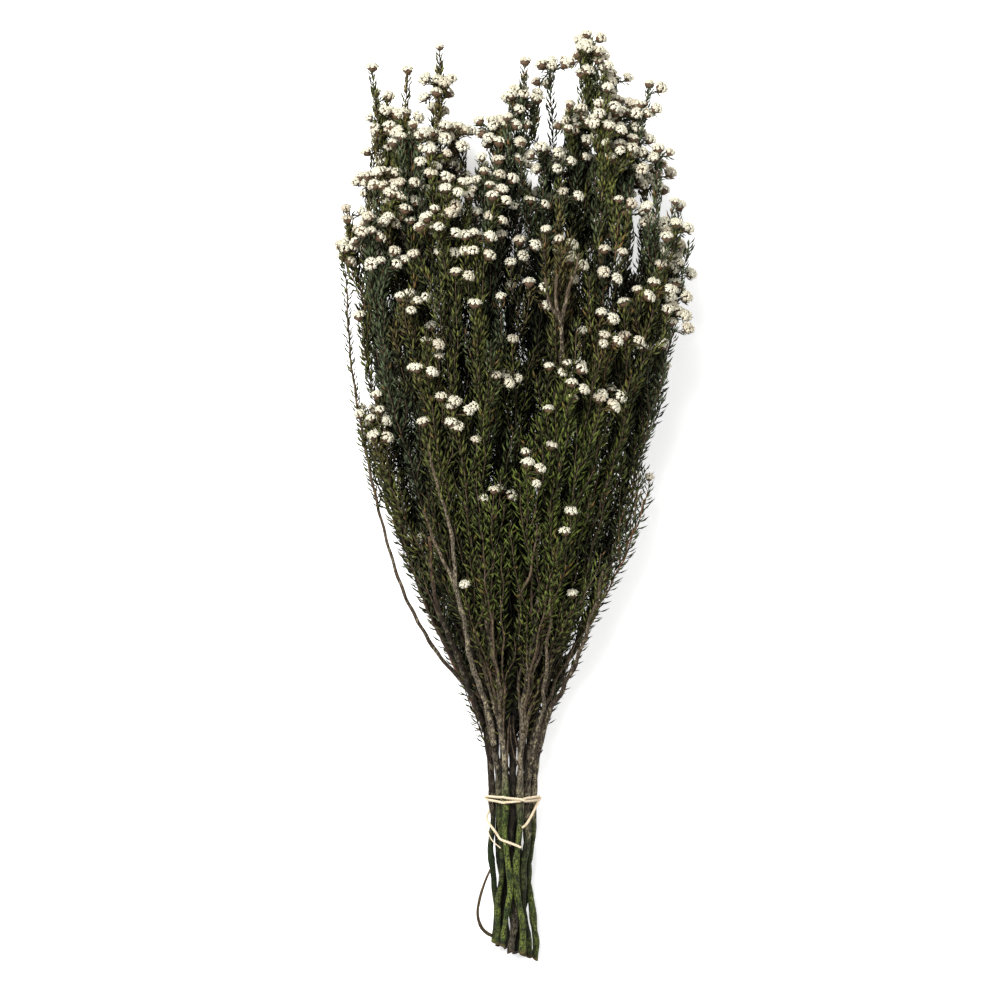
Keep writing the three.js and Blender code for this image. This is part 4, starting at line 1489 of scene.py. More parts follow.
@dataclass
class HeadKinds:
    """The kinds of flower head: a low dome of lobed florets over a shallow cup of bracts.

    Attributes:
        wide: Radius of the dome that the florets sit on.
        high: Height of the dome over its rim.
        rim: Height of the rim over the head's own middle.
        floret: Radius of a floret.
    """

    COUNT = 8
    CUP = ((-4.0, 0.55), (-2.8, 1.8), (-1.3, 3.4), (0.3, 3.0))
    CUP_SIDES = 8
    LOBES = 5
    INNER, OUTER = 5, 7  # how many florets sit in each ring of the dome

    wide: float = 3.6 * MM
    high: float = 2.4 * MM
    rim: float = 0.1 * MM
    floret: float = 1.98 * MM

    def floret_mesh(self, draws: Draws) -> tuple[list[Vector], list[tuple[int, ...]], list[float]]:
        """Shapes one floret with five lobes round a sunk middle.

        Args:
            draws: The stream that varies it.

        Returns:
            Its points, faces and how far each point takes painted shade: its sunk middle and the point
            beneath it, in the gaps between florets.
        """
        radius = self.floret * draws.between(0.86, 1.1)
        rim = 2 * self.LOBES
        points = [Vector((0, 0, 0.12)) * radius]
        for k in range(rim):
            angle = 2 * math.pi * k / rim
            far, high = (draws.between(0.88, 1.1), 0.5) if k % 2 == 0 else (0.64, 0.2)
            points.append(Vector((far * math.cos(angle), far * math.sin(angle), high)) * radius)
        points.append(Vector((0, 0, -0.6)) * radius)
        # Painted shade: the sunk middle and the point beneath the floret are marked for darkening.
        middle = [1.0] + [0.0] * rim + [0.9]
        faces = []
        for k in range(rim):
            here, after = 1 + k, 1 + (k + 1) % rim
            faces += [(0, here, after), (rim + 1, after, here)]
        return points, faces, middle

    def seats(self, number: int, draws: Draws) -> list[tuple[float, float, float]]:
        """Lists where the florets sit.

        Args:
            number: The number of the kind of head.
            draws: The stream that varies them.

        Returns:
            For each floret its angle from the top, its angle round, and its size.
        """
        inner, outer = self.INNER, self.OUTER + number % 2
        found = [(draws.between(0.0, 0.16), draws.between(0, TURN), 1.0)]
        found += [(draws.between(0.70, 0.92), 2 * math.pi * (k + draws.between(-0.14, 0.14)) / inner,
                   draws.between(0.84, 1.06)) for k in range(inner)]
        found += [(draws.between(1.18, 1.46), 2 * math.pi * (k + 0.5 + draws.between(-0.2, 0.2)) / outer,
                   draws.between(0.66, 0.95)) for k in range(outer)]
        return found

    def build(self, number: int) -> bpy.types.Object:
        """Builds one kind of head, facing up round the origin.

        Args:
            number: The number of the kind.

        Returns:
            The head.
        """
        draws = Draws.apart(900 + 77 * number)
        points, faces = self.cup()
        floret = [0.0] * len(points)
        middle = [0.0] * len(points)
        for polar, angle, bulk in self.seats(number, draws):
            far = math.sin(polar)
            out = Vector((far * math.cos(angle), far * math.sin(angle), math.cos(polar)))
            seat = Vector((out.x * self.wide, out.y * self.wide, out.z * self.high + self.rim))
            turn = (out + Vector((0, 0, 0.35))).to_track_quat("Z", "Y").to_matrix().to_4x4()
            spin = Matrix.Rotation(draws.between(0, TURN), 4, "Z")
            place = Matrix.Translation(seat * draws.between(0.90, 1.10)) @ turn @ spin
            these, rings, dark = self.floret_mesh(draws)
            start = len(points)
            points += [place @ (point * bulk) for point in these]
            faces += [tuple(start + k for k in ring) for ring in rings]
            floret += [1.0] * len(these)
            middle += dark
        made = mesh_object(f"head_kind_{number}", np.array([tuple(p) for p in points]), (), faces,
                           floret=np.array(floret), middle=np.array(middle))
        straighten(made.data)
        return made

    def cup(self) -> tuple[list[Vector], list[tuple[int, ...]]]:
        """Shapes the shallow cup of bracts that holds the florets.

        Returns:
            Its points and faces.
        """
        sides = self.CUP_SIDES
        points = []
        for height, radius in self.CUP:
            for k in range(sides):
                angle = 2 * math.pi * k / sides
                ragged = radius * (1 + 0.1 * (-1) ** k)
                points.append(Vector((ragged * math.cos(angle), ragged * math.sin(angle), height)) * MM)
        faces = []
        for row in range(len(self.CUP) - 1):
            for k in range(sides):
                low, after = row * sides + k, row * sides + (k + 1) % sides
                faces.append((low, after, after + sides, low + sides))
        faces.append(tuple(reversed(range(sides))))
        faces.append(tuple((len(self.CUP) - 1) * sides + k for k in range(sides)))
        return points, faces

    def collection(self) -> bpy.types.Collection:
        """Builds every kind into one collection, outside the scene."""
        held = bpy.data.collections.new("head_kinds")
        for number in range(self.COUNT):
            made = self.build(number)
            bpy.context.scene.collection.objects.unlink(made)
            held.objects.link(made)
        return held


@dataclass(frozen=True)
class Twiglets:
    """The short shoots that fill the bunch, too many for the part's solids.

    Attributes:
        MARGIN: How far they may pass the bunch's outline.
        PAIRED: The share of the flowering ones that have two heads.
        END: The place t that the last one stays below.
        TIP: How far a tip's leaves or head reach on.
        SPREADS: How far the spread varies.
        TRIES: How many ways of growing are tried.
        SHORTER: What is left of the length at each next try.
        step: Distance between two of them along a branch.
        length: Their shortest and longest.
        spread: How far they stand off, as a share of their length.
        start: The place t of the first one.
    """

    MARGIN = 2.0
    PAIRED = 0.45
    END = 0.96
    TIP = 6
    SPREADS = (0.5, 1.4)
    TRIES = 6
    SHORTER = 0.88

    step: float
    length: tuple[float, float]
    spread: float
    start: float

    def grow(self, branch: Branch, seed: int) -> Iterator[Branch]:
        """Grows twiglets on one branch.

        Args:
            branch: The branch.
            seed: The seed of its draws.

        Yields:
            Each twiglet that stays inside the bunch.
        """
        draws = Draws.apart(seed)
        room = self.END - self.start
        count = max(int(branch.length * room / self.step), 1)
        for k in range(count):
            place = self.start + room * (k + 0.7 * draws()) / count
            length = draws.between(*self.length) * (1 - 0.3 * place)
            spread = self.spread * draws.between(*self.SPREADS)
            turn = GOLDEN_TURN * k + draws.between(-0.5, 0.5) + seed
            luck = draws()
            for _ in range(self.TRIES):
                grown = shoot(branch, place, turn, length, spread, 0)
                tip = grown.stance(1.0)
                ends = np.vstack([grown.curve(np.linspace(0, 1, 4)), tip.point + tip.along * self.TIP])
                hollow = any(hollow.holds(ends) for hollow in HOLLOWS)
                if within(ends, self.MARGIN) and inside(ends, 1.0) and not hollow:
                    share = FLOWERING.share(tip.point)
                    if inside(ends, HEAD_REACH) and luck < share:
                        grown.heads = 1 + int(luck < self.PAIRED * share)
                    yield grown
                    break
                turn += GOLDEN_TURN
                length *= self.SHORTER


ON_TRUNKS = Twiglets(step=24.0, length=(34, 66), spread=0.24, start=0.16)
ON_BRANCHES = Twiglets(step=10.5, length=(34, 70), spread=0.24, start=0.12)
ON_SHOOTS = Twiglets(step=12.0, length=(16, 34), spread=0.32, start=0.16)


class Cover:
    """How open places in the bunch lie to the light, from the growth on every way out of it, for the finishes
    to paint shade by.
    """

    CELL = 5.0 * MM
    LAYER = 2.2  # the growth that takes most of the light
    REACH = 14  # how many cells away growth still shades
    WOOD = 900.0  # what a point of wood weighs against one of leaves, for each metre of its radius
    LIGHT = {-1: 0.15, 0: 0.6, 1: 1.0}  # the light from below, from the sides and from above
    CLOSED, OPEN = 0.08, 0.58  # the light at which a place counts as closed, and as open
    # The last three set painted shade: behind a front gap, and between the trunks in the core of the bunch.
    DIM = 0.85  # how dark it gets behind a gap that doesn't go through
    TRUNKS_TO, TRUNKS_FADE = 60, 60  # up to where the trunks shade each other, and over what way it fades
    CORE, CORE_FADE = 0.32, 0.45  # the same across the outline, as shares of it

    def __init__(self, stems: list["DressedStem"]) -> None:
        """Weighs the growth in every cell of the bunch's box.

        Args:
            stems: The stems, fully grown.
        """
        leaves = np.concatenate([line for stem in stems for line in stem.leafy.points])
        wood = np.concatenate([line for stem in stems for line in stem.wood.points])
        girth = np.concatenate([row for stem in stems for row in stem.wood.values["girth"]])
        points = np.concatenate([leaves, wood])
        weight = np.concatenate([np.ones(len(leaves)), girth * self.WOOD])
        self.low = points.min(0) - self.CELL
        self.size = np.ceil((points.max(0) - self.low) / self.CELL).astype(int) + 2
        growth = np.zeros(self.size)
        np.add.at(growth, tuple(self.cells(points).T), weight)
        ways = [way for way in product((-1, 0, 1), repeat=3) if any(way)]
        lit = sum(self.LIGHT[way[2]] * np.exp(-self.buried(growth, way) / self.LAYER) for way in ways)
        lit /= sum(self.LIGHT[way[2]] for way in ways)
        self.open = eased((lit - self.CLOSED) / (self.OPEN - self.CLOSED))
        self.random = np.random.default_rng(5)

    def buried(self, growth: np.ndarray, way: tuple[int, int, int]) -> np.ndarray:
        """Adds up the growth that lies one way from each cell.

        Args:
            growth: The growth in each cell.
            way: The step from a cell to the next.

        Returns:
            The growth on the way, for each cell.
        """
        total = np.zeros_like(growth)
        moved = growth
        for _ in range(self.REACH):
            parts = (slice(1 + step, 1 + step + count) for step, count in zip(way, growth.shape))
            moved = np.pad(moved, 1)[tuple(parts)]
            total += moved
        return total * math.hypot(*way)

    def cells(self, points: np.ndarray) -> np.ndarray:
        """Gives the cell of each point."""
        return np.clip(((points - self.low) / self.CELL).astype(int), 0, self.size - 1)

    def outer(self, points: np.ndarray) -> np.ndarray:
        """Says how open points lie, from 0 deep inside to 1 on the outside, with the cells' edges blurred;
        the finishes paint shade by it.
        """
        blurred = points + self.random.uniform(-0.5, 0.5, points.shape) * self.CELL
        points = points / MM + BOX_MIDDLE
        dim = sum(hollow.dims(points) for hollow in HOLLOWS)
        return self.open[tuple(self.cells(blurred).T)] * self.between_trunks(points) * (1 - self.DIM * dim)

    def between_trunks(self, points: np.ndarray) -> np.ndarray:
        """Says how far light gets in between the trunks, which stand closer together than a cell is wide; the
        rest is painted shade.
        """
        away = np.hypot(*shares_of(points))
        low = 1 - eased((points[:, 1] - self.TRUNKS_TO) / self.TRUNKS_FADE)
        return 1 - low * (1 - eased((away - self.CORE) / self.CORE_FADE))

    def shade(self, lines: Lines) -> None:
        """Gives every point of some lines its openness, which the finishes turn into painted shade."""
        lines.values["outer"] = [self.outer(line) for line in lines.points]


@dataclass(frozen=True)
class PlacedLimb:
    """A limb laid where the photograph shows one that stands out.

    Attributes:
        path: Its way, as x and y.
        girth: Its radius at the root and at the tip.
        shade: How dark its bark is.
        high: How high it lies, from 0 in the middle of the bunch to 1 on its front.
        bare: The share of it, from its root, that has no needles.
        root: How high its root lies, as a share of that.
        leaves: The height y at which it leaves the trunk that it grows on, where it starts there.
    """

    path: tuple[tuple[float, float], ...]
    girth: tuple[float, float]
    shade: float
    high: float = 0.9
    bare: float = 0.75
    root: float = 0.6
    leaves: float | None = None

    STEP = 3.5

    def line(self, start: list[np.ndarray]) -> np.ndarray:
        """Lays its points, which rise from under the others at its root, after those that it starts from."""
        rise = np.minimum(np.linspace(self.root, 2 - self.root, len(self.path)), 1.0) * self.high
        path = np.array(self.path, float)
        _, thick, middle = outline(path[:, 1])
        return even(np.array([*start, *np.column_stack([path, middle + rise * thick])]), self.STEP)


PLACED_LIMBS = (
    PlacedLimb(((-27.8, 69), (-52, 101), (-71, 134), (-85, 179), (-95, 224), (-102, 270), (-106, 315),
                (-108, 342)), (1.5, 0.5), 0.5, high=0.0, bare=0.5, leaves=50),
    PlacedLimb(((-12, 36), (-17, 59), (-24, 82), (-30, 108), (-35, 134), (-37, 153), (-41, 179), (-49, 206),
                (-54, 231)), (2.2, 0.9), 0.04),
    PlacedLimb(((-35, 134), (-38, 145), (-44, 157), (-50, 170), (-56, 189)), (1.4, 0.8), 0.04, root=1.0),
    PlacedLimb(((-20, 50), (-28, 75), (-38, 98), (-46, 120), (-51, 146), (-54, 172)), (2.0, 1.1), 0.95,
               high=0.8, root=0.2),
    PlacedLimb(((4, 60), (6, 100), (4, 126), (6, 138), (11, 150), (14, 164), (15, 185)), (1.3, 0.7), 0.45,
               root=0.4),
    PlacedLimb(((13, 30), (19, 58), (22, 98), (24, 128), (26, 156)), (1.5, 0.8), 0.1, root=0.45),
    PlacedLimb(((10, 12), (15, 32), (25, 60), (39, 87), (49, 117), (58, 150)), (1.9, 0.9), 0.6),
    PlacedLimb(((29, 225), (31, 246), (32, 270), (30, 292), (29, 307), (23, 317), (19, 335)), (2.1, 1.1),
               0.45, high=0.95, bare=0.88, root=-0.22),
    PlacedLimb(((29, 307), (26, 319), (28, 337)), (1.4, 0.9), 0.45, high=0.95, bare=0.8, root=1.0),
    PlacedLimb(((29, 307), (33, 318), (36, 333), (42, 350)), (1.4, 0.8), 0.45, high=0.95, bare=0.6, root=1.0),
)


@dataclass
class DressedStem:
    """One stem's wood, needles and blooms, grown over its branches."""

    stem: Stem
    branches: list[Branch]
    number: int
    wood: Lines = field(default_factory=Lines)
    leafy: Lines = field(default_factory=Lines)
    heads: list[Head] = field(default_factory=list)
    ages: list[float] = field(default_factory=list)

    FRESH_MIDDLE = np.array([18.0, 180.0])  # where the needles are fresh, as x and y
    FRESH_REACH = np.array([62.0, 105.0])
    TWIG_RADIUS = 0.54
    TIP_RADIUS = 0.38
    HEAD_FLOOR = 4.4  # the least height of a head's middle
    FOOT_SLANT = 0.45
    DRY_TWIG = ((-17.2, -53.0), (-20.7, -63.0), (-23.0, -74.0), (-22.0, -82.0), (-18.4, -88.0))
    DRY_TWIG_ENDS = (-45.0, -92.0)
    MOSS = (0.5, 0.3, 0.7, 0.42, 0.22, 0.5, 0.6, 0.85, 0.12, 0.36, 1.0, 0.72)  # for each stem
    FOOT_SWAY = 1.8
    SLIM = (0.56, 0.84)  # how thin the trunks are away from the tie, against the part's solids
    BOUGHS = 5
    SPARSE, SPARSE_FROM, SPARSE_FADE = 0.4, 300.0, 120.0
    DENSE, DENSE_FROM, DENSE_FADE = 0.3, 350.0, 60.0
    FACE_UP = (0.0, 0.6)
    WOOD_STEPS = {True: 6.5, False: 4.0}  # the distance between two points of a twig, and of other wood
    LEAFY_STEP = 3.0
    TRUNK_STEP = 2.2
    TRUNK_FROM = 12.0
    STALK_FROM, STALK_LEAD, STALK_RADIUS = 3.4, 3.0, 0.4
    DRY, STUBS = 6, 10  # how many dry twigs and stubs a trunk has

    def add_wood(self, points: np.ndarray, girth: np.ndarray | float, kind: Limb, shade: float,
                 cut: np.ndarray | float = 0.0, moss: float | None = None) -> None:
        """Adds one line of wood.

        Args:
            points: Its settled points.
            girth: Its radius.
            kind: How thick it is.
            shade: How dark its bark is.
            cut: How much of the bare cut shows.
            moss: How green it is below the tie, where it isn't as green as its stem.
        """
        self.wood.lay(points, girth=girth * MM, limb=kind.value, cut=cut, shade=shade,
                      moss=self.MOSS[self.number] if moss is None else moss)

    def trunk_line(self, y: np.ndarray) -> np.ndarray:
        """Gives the settled middle line of the trunk, which bends on its own below the tie."""
        points = settle(self.stem.points(y))
        low = eased(-y / 40) * self.FOOT_SWAY
        points[..., 0] += low * np.sin(y / 15 + self.number * 2.4)
        points[..., 2] += low * 0.6 * (1 + np.sin(y / 19 + self.number * 1.7))
        return points

    def fresh(self, points: np.ndarray) -> np.ndarray:
        """Says how fresh the needles at points are: most in the front of the lower middle."""
        away = np.linalg.norm((points[:, :2] - self.FRESH_MIDDLE) / self.FRESH_REACH, axis=1)
        return 0.1 + 0.9 * eased(1.35 - away) * np.clip((points[:, 2] - 25) / 50, 0, 1)

    def draw_wood(self, branch: Branch, root: float, leafy_from: float, kind: Limb, shade: float) -> None:
        """Draws one branch's wood.

        Args:
            branch: The branch.
            root: Its radius at the root.
            leafy_from: The place by which it has thinned to a twig.
            kind: How thick it is.
            shade: How dark its bark is.
        """
        t = np.linspace(0, 1, max(int(branch.length / self.WOOD_STEPS[kind is Limb.TWIG]), 3))
        woody = np.clip(1 - t / max(leafy_from, 0.05), 0, 1)
        twig = self.TWIG_RADIUS
        girth = twig + (self.TIP_RADIUS - twig) * t + (root - twig) * woody
        self.add_wood(settle(branch.curve(t)), girth, kind, shade)

    def draw_leafy(self, branch: Branch, leafy_from: float, hue: float) -> None:
        """Draws the line that a branch's needles follow.

        Args:
            branch: The branch.
            leafy_from: The place from which it has needles.
            hue: The hue of its needles, from cool through olive to brown.
        """
        t = np.linspace(leafy_from, 1, max(int(branch.length * (1 - leafy_from) / self.LEAFY_STEP), 3))
        points = branch.curve(t)
        fade = np.clip((1 - t) * branch.length / 9 + 0.5, 0, 1)
        self.leafy.add(points, fade=fade, fresh=self.fresh(points), open=self.opening(points), hue=hue,
                       sparse=self.sparse(points))

    def sparse(self, points: np.ndarray) -> float:
        """Says how far apart the needles of a line stand: more low in the bunch, less at its top."""
        middle = float(points[:, 1].mean())
        low = float(eased((self.SPARSE_FROM - middle) / self.SPARSE_FADE))
        high = float(eased((middle - self.DENSE_FROM) / self.DENSE_FADE))
        return 1 + self.SPARSE * low - self.DENSE * high

    @staticmethod
    def opening(points: np.ndarray) -> np.ndarray:
        """Says how far the needles at points stand off: less near the top of the bunch."""
        return np.clip(1.12 - points[:, 1] / 800, 0.6, 1.05)

    def draw_twig(self, branch: Branch, root: float, shade: float, hue: float, crowded: bool = False) -> None:
        """Draws a leafy twig with its flower heads.

        Args:
            branch: The twig.
            root: Its radius at the root.
            shade: How dark its bark is.
            hue: The hue of its needles.
            crowded: Whether lesser heads fill its cluster.
        """
        self.draw_wood(branch, root, 0.4, Limb.TWIG, shade)
        self.draw_leafy(branch, 0.04, hue)
        self.draw_heads(branch, hue, crowded)

    def draw_heads(self, branch: Branch, hue: float, crowded: bool) -> None:
        """Draws the stalks of a branch's flower heads and keeps the heads.

        Args:
            branch: The branch.
            hue: The hue of the needles on the stalks.
            crowded: Whether lesser heads fill the cluster.
        """
        tip = branch.stance(1.0)
        root = settle(tip.point)
        draws = Draws.apart(int(abs(tip.point[0]) * 97 + tip.point[1] * 13))
        for head in (*branch.head_spots(), *(branch.crowd() if crowded else ())):
            centre = settle(head.centre)
            centre[2] = max(centre[2], self.HEAD_FLOOR)
            facing = unit(head.facing + np.array([0.0, 0.0, draws.between(*self.FACE_UP)]))
            base = centre - facing * self.STALK_FROM
            lead = root + tip.along * self.STALK_LEAD + (base - root) * 0.25
            t = np.linspace(0, 1, 5)[:, None]
            stalk = (1 - t) ** 2 * root + 2 * t * (1 - t) * lead + t ** 2 * base
            self.add_wood(stalk, self.STALK_RADIUS, Limb.TWIG, 0.5)
            self.leafy.lay(stalk, fade=0.62, fresh=self.fresh(stalk), open=0.75, hue=hue,
                           sparse=self.sparse(stalk))
            self.heads.append(Head(centre, facing))
            self.ages.append(draws() ** 3)

    def draw_trunk(self) -> Branch:
        """Draws the trunk from its cut foot to the root of its leader.

        Returns:
            The part of it above the tie, as a branch.
        """
        stem, top = self.stem, self.stem.trunk_top
        y = np.append(np.arange(stem.foot, top, self.TRUNK_STEP), top)
        cut = np.clip(1 - (y - stem.foot) / 1.0, 0, 1)
        slim = 1 - Draws.apart(700 + self.number).between(*self.SLIM)
        girth = 1 - slim * smooth(np.clip(np.abs(y) / 20, 0.25, 1))
        swell = girth + 0.07 * np.sin(y / 8 + 3 * stem.phase) + 0.05 * np.sin(y / 3.1 + stem.phase)
        self.add_wood(self.trunk_line(y), stem.girth(y) * swell, Limb.TRUNK, self.shade, cut)
        if stem.name == "stem_04":
            root, tip = (self.trunk_line(np.float64(place)) for place in self.DRY_TWIG_ENDS)
            twig = even(np.array([root, *((x, along, root[2]) for x, along in self.DRY_TWIG), tip]), 2.5)
            self.add_wood(twig, np.linspace(0.8, 1.2, len(twig)), Limb.BRANCH, 1.0, moss=0.18)
            for limb in PLACED_LIMBS:
                self.draw_placed(limb)
        low = self.TRUNK_FROM
        return Branch(stem, lambda t: stem.points(low + (top - low) * np.asarray(t, float)), top - low, 0,
                      stem.radius, 0.5, 0.0)

    def draw_dry_twigs(self, trunk: Branch) -> None:
        """Draws the leafless twigs and the broken stubs low on the trunk."""
        draws = Draws.apart(800 + self.number)
        for k in range(self.DRY + self.STUBS):
            dry = k < self.DRY
            place = draws.between(0.0, 0.36) if dry else draws.between(0.0, 0.8)
            length = draws.between(16, 44) if dry else draws.between(3.5, 7.0)
            spread = draws.between(0.12, 0.3) if dry else 0.9
            grown = shoot(trunk, place, draws.between(0, TURN), length, spread, 0)
            if within(grown.curve(np.array([0.0, 0.5, 1.0])), 0.5):
                self.draw_wood(grown, draws.between(0.5, 0.8), 0.9, Limb.TWIG, draws())

    def draw_placed(self, limb: PlacedLimb) -> None:
        """Draws a limb laid along its given path."""
        line = limb.line([] if limb.leaves is None else [self.trunk_line(np.float64(limb.leaves))])
        self.add_wood(settle(line), np.linspace(*limb.girth, len(line)), Limb.BRANCH, limb.shade)
        self.leafy.add(line[int(len(line) * limb.bare):], fade=0.85, fresh=0.1, open=0.8, hue=0.6, sparse=1.1)

    @property
    def shade(self) -> float:
        """Gives how dark the stem's bark is, drawn for each stem."""
        return Draws.apart(61 + 17 * self.number)() ** 1.3

    def boughs(self) -> Iterator[Branch]:
        """Grows the forks low on the trunk, too slight for the part's solids.

        Yields:
            Each fork that stays in the bunch's outline.
        """
        draws = Draws.apart(900 + self.number)
        for _ in range(self.BOUGHS):
            start, length = draws.between(2, 46), draws.between(110, 170)
            turn, far = draws.between(0, TURN), draws.between(0.18, 0.40)
            radius = draws.between(0.9, 1.8)
            for _ in range(6):
                grown = self.bough(start, length, far * math.cos(turn), far * math.sin(turn), radius)
                if within(grown.curve(np.linspace(0, 1, 5)), 0.5):
                    yield grown
                    break
                turn += GOLDEN_TURN

    def bough(self, start: float, length: float, across: float, up: float, radius: float) -> Branch:
        """Grows one fork low on the trunk.

        Args:
            start: The height y of its root.
            length: Its length.
            across: How far it moves across the outline.
            up: How far it moves up in the outline.
            radius: Its radius at the root.

        Returns:
            The fork.
        """
        stem = self.stem

        def curve(t: np.ndarray) -> np.ndarray:
            """Follows the fork."""
            t = np.asarray(t, float)
            y = start + length * t
            u, v = stem.place(y)
            out = 1 - np.power(1 - t, 1.5)
            return stem.points(y) + in_outline(u + across * out, v + up * out, y) - in_outline(u, v, y)

        return Branch(stem, curve, length, 0, radius, 0.45, 0.0)

    def grow(self) -> None:
        """Draws the trunk, its forks, the branches, their shoots and the twiglets on them."""
        trunk = self.draw_trunk()
        self.draw_dry_twigs(trunk)
        seed = 4001 + 97 * self.number
        hues = Draws.apart(seed + 7)
        own = hues()
        limbs = [trunk]
        for bough in self.boughs():
            self.draw_wood(bough, bough.root_radius, 0.9, Limb.BRANCH, self.shade)
            self.draw_leafy(bough, 0.6, own)
            limbs.append(bough)
        for k, limb in enumerate(limbs):
            for twiglet in ON_TRUNKS.grow(limb, seed + 31 * k):
                self.draw_twig(twiglet, self.TWIG_RADIUS, self.shade, self.vary(own, hues))
        for k, branch in enumerate(self.branches):
            leader = branch.leafy_from < 0.1
            shade = self.shade if leader else Draws.apart(seed + k)()
            hue = self.vary(own, hues, 0.5)
            self.draw_wood(branch, branch.root_radius * 0.95, 0.55 if leader else branch.leafy_from,
                           Limb.BRANCH, shade)
            self.draw_leafy(branch, 0.12 if leader else 0.38, hue)
            self.draw_heads(branch, hue, True)
            for twiglet in ON_BRANCHES.grow(branch, seed + 13 * k):
                self.draw_twig(twiglet, self.TWIG_RADIUS, shade, self.vary(hue, hues))
            for i, side in enumerate(branch.shoots):
                self.draw_twig(side, self.TWIG_RADIUS * 1.3, shade, self.vary(hue, hues), True)
                for twiglet in ON_SHOOTS.grow(side, seed + 13 * k + 5 + i):
                    self.draw_twig(twiglet, self.TWIG_RADIUS, shade, self.vary(hue, hues))

    @staticmethod
    def vary(hue: float, draws: Draws, most: float = 0.22) -> float:
        """Moves a hue a little."""
        return min(max(hue + draws.between(-most, most), 0.0), 1.0)

    def bloom_points(self, cover: Cover) -> bpy.types.Object:
        """Makes the places of the flower heads an object.

        Args:
            cover: The bunch's cover, whose openness sets the heads' painted shade.

        Returns:
            The object.
        """
        centres = np.array([(head.centre - BOX_MIDDLE) * MM for head in self.heads])
        draws = Draws.apart(3000 + self.number)
        bulk = np.array([0.70 + 0.34 * draws() ** 0.6 for _ in self.heads])
        return mesh_object("heads", centres, (), (), facing=np.array([head.facing for head in self.heads]),
                           bulk=bulk, age=np.array(self.ages), outer=cover.outer(centres))

    def slant_foot(self, piece: bpy.types.Object) -> None:
        """Slants the cut at the foot of the stem's wood."""
        middle = (self.trunk_line(np.float64(self.stem.foot)) - BOX_MIDDLE) * MM
        count = len(piece.data.vertices)
        places = np.empty(count * 3, np.float32)
        piece.data.vertices.foreach_get("co", places)
        places = places.reshape(-1, 3)
        near = np.clip(1 - (places[:, 1] - middle[1]) / (4.5 * MM), 0, 1)
        off = np.clip(places - middle, -5 * MM, 5 * MM)
        phase = self.stem.phase
        slope = -off[:, 2] * math.sin(phase) + off[:, 0] * math.cos(2 * phase)
        places[:, 1] += near * self.FOOT_SLANT * slope
        piece.data.vertices.foreach_set("co", places.ravel())
        piece.data.update()


class Slot(Enum):
    """The record's material slots."""

    PHYLICA = "phylica"
    TWINE = "twine"


def keep(piece: bpy.types.Object, node: str, slot: Slot) -> int:
    """Hands a finished piece over to the part.

    Args:
        piece: The piece.
        node: The solid that it stands for.
        slot: A material slot of the record; not used.

    Returns:
        Its number of triangles.
    """
    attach(piece, "root")
    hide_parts(node)
    count = sum(len(face.vertices) - 2 for face in piece.data.polygons)
    log.info("%s: %d triangles", piece.name, count)
    return count


